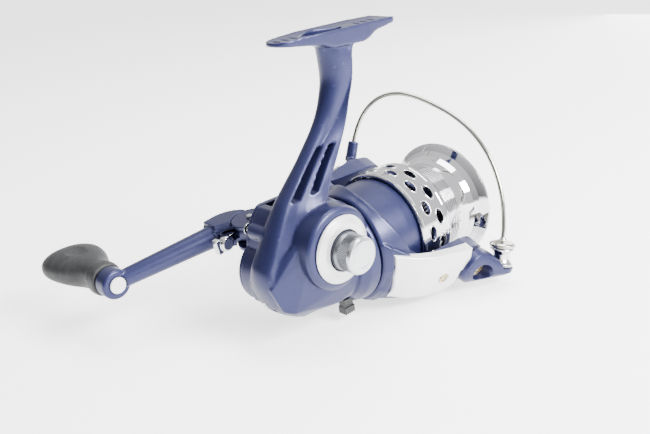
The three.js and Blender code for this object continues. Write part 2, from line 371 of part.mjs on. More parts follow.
const coverSide = [[23.0, 26.4], [30.6, 31.4], [34.2, 33.7], [42.1, 35.8], [56.6, 37.3], [56.6, 40.4], [54, 40.4], [44, 38.6], [34, 34.9], [31, 33.2], [24.4, 28.8], [23.0, 27.5]];
const coverPlan = [[22.8, -9.4], [26.5, -10.8], [34, -10.8], [45, -10.8], [53, -6.8], [56.2, -3], [56.2, 3], [53, 6.8], [45, 10.8], [34, 10.8], [26.5, 10.8], [22.8, 9.4]];
[['right', A_NEAR], ['left', A_FAR]].forEach(([side, a]) => {
  let c = aPlate(a, coverSide, -12, 12).intersect(aPlan(a, coverPlan, 20, 45));
  c = cut(c, aCyl(a, PIVOT_X, 0, 30, 46, 9.0, 20), aCyl(a, 44, 0, 30, 45, 1.4, 12), aCyl(a, 44, 0, 37.2, 45, 2.7, 24));
  piece('arm_cover_' + side, c, WHITE, 0.3, 0.4);
  let s = join(aCyl(a, 44, 0, 31.9, 37.6, 1.1, 14), aCyl(a, 44, 0, 37.5, 38.5, 2.3, 20));
  s = cut(s, aBox(a, 42.6, 45.4, 38.1, 39, -0.3, 0.3), aBox(a, 43.7, 44.3, 38.1, 39, -1.4, 1.4));
  piece('arm_cover_screw_' + side, s, STEEL, 0.3, 0.9);
});
// torsion spring of the bail, simple coil body with one leg
piece('bail_spring', join(cut(aCyl(A_NEAR, 50.6, 0, 32.2, 34.9, 3.4, 24), aCyl(A_NEAR, 50.6, 0, 20, 36, 2.4, 24)), aBox(A_NEAR, 38, 50.6, 32.6, 33.4, 2.6, 3.3)), STEEL, 0.3, 0.9);

// ---------------------------------------------------------------- bail (turns about the line through both pivots)
const P0 = V(78.1, -41.5, -12.6), P1 = V(65.5, 39.3, 17.5), WIRE_H = 45, WIRE_N = 2.48, WIRE_SKEW = -0.39;
const bailPoint = t => {
  const c = P0.clone().add(P1).multiplyScalar(0.5), a = P0.clone().sub(P1).multiplyScalar(0.5), L = a.length(), ah = a.clone().normalize();
  const X = V(1, 0, 0).addScaledVector(ah, -ah.x).normalize(), w = new THREE.Vector3().crossVectors(ah, X); if (w.z < 0) w.negate();
  const v = X.clone().multiplyScalar(Math.cos(BAIL_TILT)).addScaledVector(w, Math.sin(BAIL_TILT));
  const ct = Math.cos(t), st = Math.sin(t), e = 2 / WIRE_N, A = Math.sign(ct) * Math.abs(ct) ** e * L, B = Math.abs(st) ** e * WIRE_H;
  return c.addScaledVector(ah, A + WIRE_SKEW * B).addScaledVector(v, B);
};
const wirePts = []; for (let i = 0; i <= 26; i++) wirePts.push(bailPoint(Math.PI * (0.03 + 0.94 * i / 26)));
const wireCurve = new THREE.CatmullRomCurve3(wirePts);
const wireShape = new THREE.Shape(); wireShape.absarc(0, 0, WIRE_R, 0, Math.PI * 2);
const wire = solid(new THREE.ExtrudeGeometry(wireShape, { steps: 28, curveSegments: 4, bevelEnabled: false, extrudePath: wireCurve }));
const W0 = wirePts[0], W1 = wirePts[wirePts.length - 1], W1d = wirePts[wirePts.length - 3].clone().sub(W1).normalize();
const ROLL_C = V(78.0, -41.0, -16.2), ROLL_AX = W0.clone().sub(ROLL_C).normalize();
const rollAt = s => ROLL_C.clone().addScaledVector(ROLL_AX, s);
const wireEnd = join(rodAB(rollAt(5.0), W0.clone().addScaledVector(wirePts[1].clone().sub(W0).normalize(), 0.6), WIRE_R, 12), rodAB(rollAt(4.3), rollAt(6.4), 3.6, 20, 2.2), rodAB(rollAt(-6.4), rollAt(4.6), 1.5, 20));
const pn = (x, r, t = 0, a = A_NEAR) => V(x, r, t).applyMatrix4(frameOf(a));
// blue carrier arm from the pivot to the roller
let carrier = (() => {
  const p = [];
  for (let i = 0; i < 14; i++) { const t = 2 * Math.PI * i / 14; p.push(pn(PIVOT_X + 7.4 * Math.cos(t), 37.2, 7.4 * Math.sin(t)), pn(PIVOT_X + 6.4 * Math.cos(t), 42.4, 6.4 * Math.sin(t))); }
  const q = rollAt(-5.4), q2 = rollAt(-8.2);
  const u1 = V(1, 0, 0).addScaledVector(ROLL_AX, -ROLL_AX.x).normalize(), u2 = new THREE.Vector3().crossVectors(ROLL_AX, u1);
  for (let i = 0; i < 10; i++) { const t = 2 * Math.PI * i / 10; p.push(q.clone().addScaledVector(u1, 4.6 * Math.cos(t)).addScaledVector(u2, 4.6 * Math.sin(t)), q2.clone().addScaledVector(u1, 3.4 * Math.cos(t)).addScaledVector(u2, 3.4 * Math.sin(t))); }
  let m = hull(p);
  m = cut(m, rodAB(rollAt(-5.1), rollAt(14), 5.2, 20), aBox(A_NEAR, 40, 90, 20, 37.2, -30, 30));
  return cut(m, aCyl(A_NEAR, PIVOT_X, 0, 36, 44, 1.6, 20), aCyl(A_NEAR, PIVOT_X, 0, 40.2, 46, 3.8, 18), rodAB(rollAt(-12), rollAt(0), 1.8, 12));
})();
piece('bail_arm', carrier, BLUE, 0.35, 0.6);
piece('bail_wire', join(wire, wireEnd), CHROME, 0.15, 1);
const rollR = [[-4.3, 1.58], [-4.3, 4.4], [-3.3, 4.4], [-1.2, 3.2], [1.2, 3.2], [3.0, 4.3], [4.0, 4.3], [4.0, 1.58], [-4.3, 1.58]];
const rollG = new THREE.LatheGeometry(rollR.map(p => new THREE.Vector2(p[1], p[0])), 20);
piece('line_roller', mat(rollG, new THREE.Matrix4().compose(ROLL_C, new THREE.Quaternion().setFromUnitVectors(V(0, 1, 0), ROLL_AX), V(1, 1, 1))), CHROME, 0.1, 1);
// far holder: pivot disc with an upright socket for the wire
let holder = (() => {
  const p = [];
  for (let i = 0; i < 14; i++) { const t = 2 * Math.PI * i / 14; p.push(pn(PIVOT_X + 6.6 * Math.cos(t), 37.0, 6.6 * Math.sin(t), A_FAR), pn(PIVOT_X + 5.4 * Math.cos(t), 40.6, 5.4 * Math.sin(t), A_FAR)); }
  const q = W1.clone().addScaledVector(W1d, -3), u1 = V(1, 0, 0).addScaledVector(W1d, -W1d.x).normalize(), u2 = new THREE.Vector3().crossVectors(W1d, u1);
  for (let i = 0; i < 12; i++) { const t = 2 * Math.PI * i / 12; p.push(q.clone().addScaledVector(u1, 2.9 * Math.cos(t)).addScaledVector(u2, 2.9 * Math.sin(t))); }
  return join(cut(hull(p), aBox(A_FAR, 40, 90, 20, 37.2, -30, 30)), rodAB(W1.clone().addScaledVector(W1d, -4), W1.clone().addScaledVector(W1d, 5), 2.7, 14));
})();
holder = cut(holder, rodAB(W1.clone().addScaledVector(W1d, -0.4), W1.clone().addScaledVector(W1d, 9), WIRE_R + 0.35, 12),
  aCyl(A_FAR, PIVOT_X, 0, 36, 44, 1.6, 20), aCyl(A_FAR, PIVOT_X, 0, 39.0, 46, 3.3, 16));
piece('bail_holder', holder, BLUE, 0.35, 0.6);
[['right', A_NEAR, 40.5], ['left', A_FAR, 39.3]].forEach(([side, a, r]) => {
  let s = join(aCyl(a, PIVOT_X, 0, 31.8, r + 0.1, 1.3, 16), aCyl(a, PIVOT_X, 0, r, r + 1.3, 2.9, 24));
  s = cut(s, aBox(a, PIVOT_X - 2, PIVOT_X + 2, r + 0.8, r + 2, -0.35, 0.35));
  piece('bail_screw_' + side, s, STEEL, 0.25, 0.9);
});

// ---------------------------------------------------------------- oscillation gear
let osc = gearY(OSC_X, OSC_Z, OSC_TEETH, OSC_MODULE, 5.6, 8.4);
osc = join(osc, rodY(8, 14.8, 2.2, 24, OSC_X, OSC_Z), rodY(4.9, 6, 1.6, 20, OSC_X, OSC_Z - TRAVEL));
piece('oscillation_gear', osc, WHITE, 0.4, 0.3);

// ---------------------------------------------------------------- main shaft group (slides along the spool axis)
piece('main_shaft', join(rod(-18.0, 90.5, SHAFT_R, 20), rod(56.4, 58.2, 3.4, 24)), STEEL, 0.2, 0.95);
let slider = cut(join(box(-18.6, -9.6, -2.4, 4.1, -10.5, 4.6)), rod(-18.3, -9, SHAFT_R + GAP, 24), rod(-20, -9, 1.2, 16, 1.0, -8.3), box(-15.1, -10.9, 1.9, 5, -9.4, 4.0).subtract(box(-15.3, -10.5, 1.5, 3.2, -12, 5)));
piece('slider_block', cut(slider, rod(-20, -8, SHAFT_R + GAP, 24), box(-12.6 - 1.9, -12.6 + 1.9, -3, 0, 1.2, 5.2)), BRASS, 0.35, 0.8);
piece('slider_screw', box(-13.9, -11.3, -2.3, -0.5, 2.1, 5.0), STEEL, 0.3, 0.9);
// drag stack and knob at the front
piece('drag_washer_1', tubeX(76.4, 77.6, 2.1, 15.6, 28), STEEL, 0.3, 0.9);
piece('drag_washer_2', tubeX(77.9, 79.1, 2.1, 15.6, 28), 0xd9d2c0, 0.8, 0);
piece('drag_washer_3', tubeX(79.4, 80.6, 2.1, 15.6, 28), STEEL, 0.3, 0.9);
piece('drag_retainer', tubeX(80.9, 81.8, 12.6, 16.0, 28), STEEL, 0.3, 0.9);
let dk = latheX([[82.6, 0], [82.6, 11.8], [84.4, 11.8], [84.8, 14.6], [92.0, 13.6], [93.4, 12.2], [93.8, 0]], 30);
for (let i = 0; i < 8; i++) { const t = 2 * Math.PI * i / 8; dk = cut(dk, rod(86.4, 95, 1.8, 6, 14.9 * Math.cos(t), 14.9 * Math.sin(t))); }
dk = cut(dk, rod(82, 91.2, SHAFT_R + 0.08, 20), tubeX(82, 86.5, 2.6, 6.8, 28));
piece('drag_knob', dk, BLUE, 0.35, 0.6);
piece('drag_spring', tubeX(81.0, 86.0, 3.0, 6.2, 24), STEEL, 0.3, 0.9);

// ---------------------------------------------------------------- spool
let spool = latheX([[59.4, 0], [59.4, 6.4], [68.6, 6.4], [68.6, 19.4], [66.2, 19.8], [63.2, 24.4], [61.2, 25.3], [SKIRT_X, 25.5], [SKIRT_X, SKIRT_R - 0.3], [SKIRT_X + 0.6, SKIRT_R],
  [59.6, SKIRT_R], [63.4, 25.4], [66.4, 22.6], [74.0, 21.9], [79.6, 22.5], [84.0, 25.2], [86.2, 28.0], [LIP_X + 0.3, 28.6], [88.4, 28.2], [88.6, 26.8], [86.2, 24.2], [84.2, 18.6], [84.2, 16.5], [76.1, 16.5], [76.1, 0]], 30);
spool = cut(spool, rod(58, 78, SHAFT_R + 0.09, 20));
for (let row = 0; row < 2; row++) for (let i = 0; i < 14; i++) {
  const t = 2 * Math.PI * (i + 0.5 * row) / 14 + 0.13;
  const g = new THREE.CylinderGeometry(1, 1, 6, 8); g.scale(1.75, 1, 3.1); g.translate(row ? 54.0 : 47.8, 26, 0);
  spool = spool.subtract(mat(g, new THREE.Matrix4().makeRotationX(t + Math.PI / 2)));
}
piece('spool', spool, CHROME, 0.08, 1);

// ---------------------------------------------------------------- anti-reverse lever
let lever = join(rod(7.0, 12.6, 2.2, 20, -6.1, -18.4), box(7.2, 12.4, -7.6, -4.6, -24.4, -18.4));
lever = join(lever, box(7.0, 12.6, -8.4, -3.8, -27.2, -23.8));
lever = cut(lever, box(6, 14, -9, -3, -27.6, -26.8).intersect(box(8.2, 9.2, -9, -3, -28, -26)), box(10.4, 11.4, -9, -3, -27.6, -26.6));
piece('anti_reverse_lever', lever, BLACK, 0.6, 0);

export default group;
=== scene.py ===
import json
import math

import bmesh
import bpy
import numpy as np
from mathutils import Matrix, Vector


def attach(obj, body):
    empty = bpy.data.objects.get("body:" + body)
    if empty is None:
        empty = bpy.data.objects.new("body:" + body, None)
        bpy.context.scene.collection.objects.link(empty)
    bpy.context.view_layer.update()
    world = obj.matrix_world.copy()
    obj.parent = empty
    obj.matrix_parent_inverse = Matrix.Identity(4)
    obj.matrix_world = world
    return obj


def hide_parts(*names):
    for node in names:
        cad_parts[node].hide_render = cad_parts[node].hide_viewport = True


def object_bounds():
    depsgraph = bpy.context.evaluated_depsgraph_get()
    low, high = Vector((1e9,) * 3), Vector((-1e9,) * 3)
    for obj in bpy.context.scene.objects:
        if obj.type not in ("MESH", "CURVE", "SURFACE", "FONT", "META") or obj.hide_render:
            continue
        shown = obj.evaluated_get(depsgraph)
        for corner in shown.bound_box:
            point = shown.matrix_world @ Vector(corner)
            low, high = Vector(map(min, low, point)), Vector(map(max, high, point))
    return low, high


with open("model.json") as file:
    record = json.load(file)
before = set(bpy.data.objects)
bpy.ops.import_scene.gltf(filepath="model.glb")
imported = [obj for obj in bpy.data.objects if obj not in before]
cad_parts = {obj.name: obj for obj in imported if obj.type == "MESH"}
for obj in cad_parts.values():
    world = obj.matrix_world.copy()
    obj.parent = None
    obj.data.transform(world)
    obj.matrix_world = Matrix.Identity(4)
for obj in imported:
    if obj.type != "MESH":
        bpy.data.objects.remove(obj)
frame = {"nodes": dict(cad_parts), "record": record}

NODES = frame["nodes"]
CAD_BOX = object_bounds()
SC = bpy.context.scene
COL = SC.collection

# the modelling axes are the CAD ones: X forward on the spool axis, Y to the handle side, Z up,
# in millimetres; the row frame has its origin on the foot seat
SX, SZ = 30.0, 94.0
AXIS_Z = 11.2


def A(*v):
    return np.array(v, float)


def unit(v):
    v = np.array(v, float)
    return v / np.linalg.norm(v)


# ------------------------------------------------------------------ mesh helpers (millimetres)
def mesh(verts, faces):
    me = bpy.data.meshes.new("m")
    me.from_pydata([tuple(map(float, v)) for v in verts], [], [tuple(int(i) for i in f) for f in faces])
    bm = bmesh.new()
    bm.from_mesh(me)
    bmesh.ops.remove_doubles(bm, verts=bm.verts, dist=2e-4)
    bmesh.ops.recalc_face_normals(bm, faces=bm.faces)
    bm.to_mesh(me)
    bm.free()
    me.update()
    return me


def frame_of(o, ex, ey, ez):
    m = np.eye(4)
    m[:3, 0], m[:3, 1], m[:3, 2], m[:3, 3] = ex, ey, ez, o
    return m


def apply(m, pts):
    return pts @ m[:3, :3].T + m[:3, 3]


def round_profile(pts, r, closed=False, n=4, eps=0.06):
    """Rounds the corners of a polyline; small support points keep the flats flat."""
    pts = [A(*p) for p in pts]
    if closed and np.linalg.norm(pts[0] - pts[-1]) < 1e-6:
        pts = pts[:-1]
    out = []
    N = len(pts)
    for i, p in enumerate(pts):
        if not closed and i in (0, N - 1):
            out.append(p)
            continue
        a, b = pts[(i - 1) % N], pts[(i + 1) % N]
        da, db = a - p, b - p
        la, lb = np.linalg.norm(da), np.linalg.norm(db)
        if la < 1e-6 or lb < 1e-6:
            out.append(p)
            continue
        da, db = da / la, db / lb
        ang = math.acos(max(-1, min(1, float(da @ db))))
        if ang > math.radians(172):
            out.append(p)
            continue
        rr = r(i) if callable(r) else r
        t = rr / math.tan(ang / 2)
        t = min(t, 0.42 * la, 0.42 * lb)
        rr = t * math.tan(ang / 2)
        c = p + unit(da + db) * (rr / math.sin(ang / 2))
        s, e = p + da * t, p + db * t
        ep = min(eps, 0.1 * t + 0.02)
        out.append(s + da * min(ep, 0.04 * la))
        vs, ve = s - c, e - c
        sweep = math.pi - ang
        k = max(2, int(math.ceil(n * sweep / (math.pi / 2))))
        w = math.acos(max(-1, min(1, float(unit(vs) @ unit(ve)))))
        for j in range(k + 1):
            f = j / k
            if w < 1e-6:
                q = vs * (1 - f) + ve * f
            else:
                q = (math.sin((1 - f) * w) * vs + math.sin(f * w) * ve) / math.sin(w)
            out.append(c + q)
        out.append(e + db * min(ep, 0.04 * lb))
    if closed:
        out.append(out[0].copy())
    return out


def lathe(pts, n, m, r=0.0, arc=4, shape=None):
    """pts are (axial, radius); m puts local Z on the axis. shape(axial, radius, angle) may change the radius."""
    closed = np.linalg.norm(A(*pts[0]) - A(*pts[-1])) < 1e-6
    p = round_profile(pts, r, closed, arc) if r else [A(*q) for q in pts]
    verts, faces = [], []
    t = np.linspace(0, 2 * math.pi, n, endpoint=False)
    for a, q in p:
        q = max(q, 0.0)
        rr = np.full(n, q) if shape is None else np.array([shape(a, q, x) for x in t])
        verts.append(np.stack([rr * np.cos(t), rr * np.sin(t), np.full(n, a)], 1))
    for k in range(len(p) - 1):
        for i in range(n):
            j = (i + 1) % n
            faces.append((k * n + i, k * n + j, (k + 1) * n + j, (k + 1) * n + i))
    v = apply(m, np.concatenate(verts))
    return mesh(v, faces)


FX = lambda y=0.0, z=0.0: frame_of(A(0, y, z), A(0, 1, 0), A(0, 0, 1), A(1, 0, 0))
FY = lambda x=0.0, z=0.0: frame_of(A(x, 0, z), A(0, 0, 1), A(1, 0, 0), A(0, 1, 0))


def lathe_x(pts, n=96, y=0.0, z=0.0, **k):
    return lathe(pts, n, FX(y, z), **k)


def lathe_y(pts, n=96, x=0.0, z=0.0, **k):
    return lathe(pts, n, FY(x, z), **k)


def rod_x(x0, x1, r, n=48, y=0.0, z=0.0):
    return lathe_x([[x0, 0], [x0, r], [x1, r], [x1, 0]], n, y, z)


def rod_y(y0, y1, r, n=64, x=0.0, z=0.0):
    return lathe_y([[y0, 0], [y0, r], [y1, r], [y1, 0]], n, x, z)


def box(x0, x1, y0, y1, z0, z1, m=None):
    v = np.array([[x, y, z] for x in (x0, x1) for y in (y0, y1) for z in (z0, z1)], float)
    if m is not None:
        v = apply(m, v)
    return mesh(v, [(0, 1, 3, 2), (4, 6, 7, 5), (0, 4, 5, 1), (2, 3, 7, 6), (0, 2, 6, 4), (1, 5, 7, 3)])


def prism(poly, h0, h1, m):
    """polygon in the local XY plane, from local Z h0 to h1"""
    n = len(poly)
    v = [[p[0], p[1], h0] for p in poly] + [[p[0], p[1], h1] for p in poly]
    f = [tuple(range(n))[::-1], tuple(range(n, 2 * n))] + [(i, (i + 1) % n, n + (i + 1) % n, n + i) for i in range(n)]
    me = mesh(apply(m, np.array(v, float)), f)
    bm = bmesh.new()
    bm.from_mesh(me)
    bmesh.ops.triangulate(bm, faces=[x for x in bm.faces if len(x.verts) > 4])
    bm.to_mesh(me)
    bm.free()
    return me


PXZ = frame_of(A(0, 0, 0), A(1, 0, 0), A(0, 0, 1), A(0, -1, 0))   # heights run along -Y
PXY = np.eye(4)
PYZ = frame_of(A(0, 0, 0), A(0, 1, 0), A(0, 0, 1), A(1, 0, 0))


def plate_xz(poly, y0, y1):
    return prism(poly, -y1, -y0, PXZ)


def loft(rings):
    n = len(rings[0])
    v = np.concatenate([np.array(r, float) for r in rings])
    f = []
    for k in range(len(rings) - 1):
        for i in range(n):
            j = (i + 1) % n
            f.append((k * n + i, k * n + j, (k + 1) * n + j, (k + 1) * n + i))
    f.append(tuple(range(n))[::-1])
    f.append(tuple(range((len(rings) - 1) * n, len(rings) * n)))
    me = mesh(v, f)
    bm = bmesh.new()
    bm.from_mesh(me)
    bmesh.ops.triangulate(bm, faces=[x for x in bm.faces if len(x.verts) > 4])
    bm.to_mesh(me)
    bm.free()
    return me


def hull(pts):
    bm = bmesh.new()
    for p in pts:
        bm.verts.new(tuple(map(float, p)))
    r = bmesh.ops.convex_hull(bm, input=bm.verts)
    loose = [v for v in bm.verts if not v.link_faces]
    bmesh.ops.delete(bm, geom=loose, context="VERTS")
    bmesh.ops.recalc_face_normals(bm, faces=bm.faces)
    me = bpy.data.meshes.new("h")
    bm.to_mesh(me)
    bm.free()
    return me


_a = bpy.data.objects.new("scratch_a", bpy.data.meshes.new("sa"))
_b = bpy.data.objects.new("scratch_b", bpy.data.meshes.new("sb"))
COL.objects.link(_a)
COL.objects.link(_b)


def evaluated():
    dg = bpy.context.evaluated_depsgraph_get()
    dg.update()
    return bpy.data.meshes.new_from_object(_a.evaluated_get(dg))


def boolean(a, b, op):
    _a.data, _b.data = a, b
    for solver in ("MANIFOLD", "EXACT"):
        m = _a.modifiers.new("b", "BOOLEAN")
        m.operation, m.object, m.solver = op, _b, solver
        r = evaluated()
        _a.modifiers.clear()
        same = len(r.vertices) == len(a.vertices) and len(r.polygons) == len(a.polygons)
        if len(r.vertices) and not (same and solver == "MANIFOLD"):
            return r
    return r


def join(a, *bs):
    for b in bs:
        a = boolean(a, b, "UNION")
    return a


def cut(a, *bs):
    for b in bs:
        a = boolean(a, b, "DIFFERENCE")
    return a


def both(a, b):
    return boolean(a, b, "INTERSECT")


def cast(me, voxel, smooth, factor=0.5):
    """Turns a hard-edged solid into an even skin with soft edges, as a casting or moulding has."""
    _a.data = me
    m = _a.modifiers.new("r", "REMESH")
    m.mode, m.voxel_size, m.use_smooth_shade = "VOXEL", voxel, True
    if smooth:
        s = _a.modifiers.new("s", "SMOOTH")
        s.factor, s.iterations = factor, smooth
    r = evaluated()
    _a.modifiers.clear()
    return r


def merge(*ms):
    """Several closed shells as one mesh"""
    bm = bmesh.new()
    for m in ms:
        bm.from_mesh(m)
    me = bpy.data.meshes.new("j")
    bm.to_mesh(me)
    bm.free()
    return me


def cad(node):
    """A copy of a CAD node's mesh, back in millimetres and the modelling axes."""
    me = NODES[node].data.copy()
    me.materials.clear()
    me.transform(Matrix.Scale(1000, 4))
    me.transform(Matrix.Translation((SX, 0, SZ)))
    bm = bmesh.new()
    bm.from_mesh(me)
    bmesh.ops.remove_doubles(bm, verts=bm.verts, dist=1e-4)
    bm.to_mesh(me)
    bm.free()
    return me


def piece(name, me, material, body, nodes=(), sharp=None):
    me = me.copy()
    me.transform(Matrix.Translation((-SX, 0, -SZ)))
    me.transform(Matrix.Scale(0.001, 4))
    me.name = name
    me.materials.clear()
    me.materials.append(material)
    if sharp is None:
        me.shade_smooth()
    else:
        me.shade_smooth()
        me.set_sharp_from_angle(angle=math.radians(sharp))
    for p in me.polygons:
        p.material_index = 0
    o = bpy.data.objects.new(name, me)
    COL.objects.link(o)
    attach(o, body)
    if nodes:
        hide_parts(*nodes)
    return o


# ------------------------------------------------------------------ materials
def lin(c):
    return tuple((x / 12.92 if x <= 0.04045 else ((x + 0.055) / 1.055) ** 2.4) for x in (v / 255 for v in c)) + (1.0,)


def material(name, color, metallic=0.0, rough=0.4, var=0.06, var_size=14.0, rough_var=0.08,
             flake=0.0, grain=None, grain_depth=0.0, stretch=None, coat=0.0, coat_rough=0.1,
             edge_highlight=0.0, edge_highlight_color=None, spec=0.5, dust=0.0):
    """Procedural node material; sizes are in millimetres."""
    mt = bpy.data.materials.new(name)
    mt.use_nodes = True
    nt = mt.node_tree
    N, L = nt.nodes, nt.links
    N.clear()
    out = N.new("ShaderNodeOutputMaterial")
    bs = N.new("ShaderNodeBsdfPrincipled")
    L.new(bs.outputs[0], out.inputs[0])
    tc = N.new("ShaderNodeTexCoord")
    c = lin(color)

    def noise(size, detail=3.0, scale_vec=None, rough_=0.55):
        mp = N.new("ShaderNodeMapping")
        L.new(tc.outputs["Object"], mp.inputs["Vector"])
        if scale_vec:
            mp.inputs["Scale"].default_value = scale_vec
        n = N.new("ShaderNodeTexNoise")
        n.inputs["Scale"].default_value = 1000.0 / size
        n.inputs["Detail"].default_value = detail
        n.inputs["Roughness"].default_value = rough_
        L.new(mp.outputs[0], n.inputs["Vector"])
        return n.outputs["Fac"]

    def rng(src, a0, a1, b0, b1):
        r = N.new("ShaderNodeMapRange")
        r.inputs["From Min"].default_value, r.inputs["From Max"].default_value = a0, a1
        r.inputs["To Min"].default_value, r.inputs["To Max"].default_value = b0, b1
        L.new(src, r.inputs["Value"])
        return r.outputs[0]

    def mix(fac, a, b, mode="MIX"):
        m = N.new("ShaderNodeMix")
        m.data_type, m.blend_type = "RGBA", mode
        if isinstance(fac, float):
            m.inputs[0].default_value = fac
        else:
            L.new(fac, m.inputs[0])
        for s, k in ((a, 6), (b, 7)):
            if isinstance(s, tuple):
                m.inputs[k].default_value = s
            else:
                L.new(s, m.inputs[k])
        return m.outputs[2]

    base = mix(rng(noise(var_size), 0.35, 0.65, 0.0, 1.0),
               tuple(x * (1 - var) for x in c[:3]) + (1,), tuple(min(1, x * (1 + var)) for x in c[:3]) + (1,))
    normal = None
    if flake:
        v = N.new("ShaderNodeTexVoronoi")
        v.inputs["Scale"].default_value = 1000.0 / 0.16
        L.new(tc.outputs["Object"], v.inputs["Vector"])
        base = mix(rng(v.outputs["Color"], 0.55, 1.0, 0.0, flake), base, tuple(min(1, x * 1.9 + 0.02) for x in c[:3]) + (1,))
    # painted highlight: convex edges, found by Pointiness, are lightened towards a paler colour as if they caught the
    # light
    if edge_highlight:
        g = N.new("ShaderNodeNewGeometry")
        base = mix(rng(g.outputs["Pointiness"], 0.52, 0.60, 0.0, edge_highlight), base, lin(edge_highlight_color or (190, 192, 200)))
    if dust:
        base = mix(rng(noise(3.0, 6.0), 0.5, 0.8, 0.0, dust), base, lin((150, 150, 152)))
    L.new(base, bs.inputs["Base Color"])
    bs.inputs["Metallic"].default_value = metallic
    L.new(rng(noise(var_size * 0.45, 5.0), 0.3, 0.7, max(0.02, rough - rough_var), rough + rough_var), bs.inputs["Roughness"])
    bs.inputs["Specular IOR Level"].default_value = spec
    bs.inputs["Coat Weight"].default_value = coat
    bs.inputs["Coat Roughness"].default_value = coat_rough
    if grain:
        b = N.new("ShaderNodeBump")
        b.inputs["Strength"].default_value = 1.0
        b.inputs["Distance"].default_value = grain_depth * 0.001
        L.new(noise(grain, 4.0, stretch), b.inputs["Height"])
        L.new(b.outputs[0], bs.inputs["Normal"])
        if coat:
            L.new(b.outputs[0], bs.inputs["Coat Normal"])
    return mt


M = {}
# edge_highlight values below set the strength of the painted highlight on convex edges
M["blue_paint"] = material("satin_blue_paint", (29, 32, 70), metallic=0.5, rough=0.36, var=0.05, rough_var=0.04, flake=0.3,
                           grain=0.7, grain_depth=0.01, coat=0.12, coat_rough=0.25, edge_highlight=0.08, edge_highlight_color=(110, 116, 175))
M["blue_plastic"] = material("satin_blue_knob", (29, 32, 70), metallic=0.5, rough=0.36, var=0.05, rough_var=0.05, flake=0.35,
                             grain=0.5, grain_depth=0.012, coat=0.3, coat_rough=0.2)
M["silver_paint"] = material("pearl_silver_paint", (214, 214, 218), metallic=0.45, rough=0.33, var=0.03, rough_var=0.05, flake=0.4,
                             grain=0.5, grain_depth=0.008, coat=0.4, coat_rough=0.12, edge_highlight=0.2, edge_highlight_color=(240, 240, 244))
M["aluminium"] = material("turned_aluminium", (196, 198, 202), metallic=1.0, rough=0.27, var=0.04, rough_var=0.06,
                          grain=0.35, grain_depth=0.012, stretch=(1, 14, 1))
M["dark_metal"] = material("satin_dark_paint", (44, 45, 56), metallic=0.5, rough=0.38, var=0.06, rough_var=0.05, flake=0.3,
                           grain=0.5, grain_depth=0.012, coat=0.2, coat_rough=0.25, edge_highlight=0.2, edge_highlight_color=(110, 112, 125))
M["steel"] = material("polished_steel", (176, 178, 182), metallic=1.0, rough=0.2, var=0.05, rough_var=0.07,
                      grain=0.3, grain_depth=0.01, stretch=(1, 1, 12))
M["chrome"] = material("bright_chrome", (206, 206, 210), metallic=1.0, rough=0.06, var=0.015, rough_var=0.03,
                       grain=6.0, grain_depth=0.01)
M["wire"] = material("nickel_wire", (176, 174, 166), metallic=1.0, rough=0.17, var=0.06, var_size=6, rough_var=0.05,
                     grain=0.25, grain_depth=0.006)
M["brass"] = material("cut_brass", (186, 146, 84), metallic=1.0, rough=0.32, var=0.08, rough_var=0.08,
                      grain=0.3, grain_depth=0.01)
M["rubber"] = material("soft_touch_rubber", (30, 31, 33), metallic=0.0, rough=0.55, var=0.12, var_size=9, rough_var=0.07,
                       grain=0.16, grain_depth=0.03, spec=0.45, dust=0.05)
M["white_plastic"] = material("moulded_white_plastic", (224, 224, 222), metallic=0.0, rough=0.38, var=0.03, rough_var=0.06,
                              grain=0.3, grain_depth=0.01)
M["black_plastic"] = material("moulded_black_plastic", (22, 22, 25), metallic=0.0, rough=0.45, var=0.1, rough_var=0.08,
                              grain=0.25, grain_depth=0.02, dust=0.04)
M["felt"] = material("drag_felt", (188, 178, 152), metallic=0.0, rough=0.9, var=0.15, var_size=2, rough_var=0.04,
                     grain=0.12, grain_depth=0.08)
# painted shade: the knurl band's base colour is darkened well below the turned aluminium, standing in for the shade in
# its fine grooves
M["knurl"] = material("knurled_aluminium_painted_groove_shade", (118, 121, 126), metallic=1.0, rough=0.34, var=0.06, rough_var=0.06,
                      grain=0.3, grain_depth=0.012)
M["cream"] = material("warm_nickel_screw", (196, 180, 140), metallic=0.9, rough=0.26, var=0.08, var_size=3, rough_var=0.08,
                      grain=0.25, grain_depth=0.01)

slot_of = {s["node"]: s["material_slot"] for s in frame["record"]["subparts"]}
for n, o in NODES.items():
    o.data.materials.clear()
    o.data.materials.append(M[slot_of[n]])

# ------------------------------------------------------------------ camera
r_, u_, v_ = A(0.71148, -0.69660, -0.09244), A(0.32297, 0.20733, 0.92342), A(0.62409, 0.68685, -0.37249)
cam_data = bpy.data.cameras.new("camera")
cam_data.lens, cam_data.sensor_width, cam_data.sensor_fit = 42.1, 36.0, "HORIZONTAL"
cam_data.clip_start, cam_data.clip_end = 0.01, 20.0
cam = bpy.data.objects.new("camera", cam_data)
COL.objects.link(cam)
R = Matrix(((r_[0], u_[0], -v_[0]), (r_[1], u_[1], -v_[1]), (r_[2], u_[2], -v_[2]))).to_4x4()
cam.matrix_world = Matrix.Translation((-0.2212, -0.2204, 0.0435)) @ R
SC.camera = cam

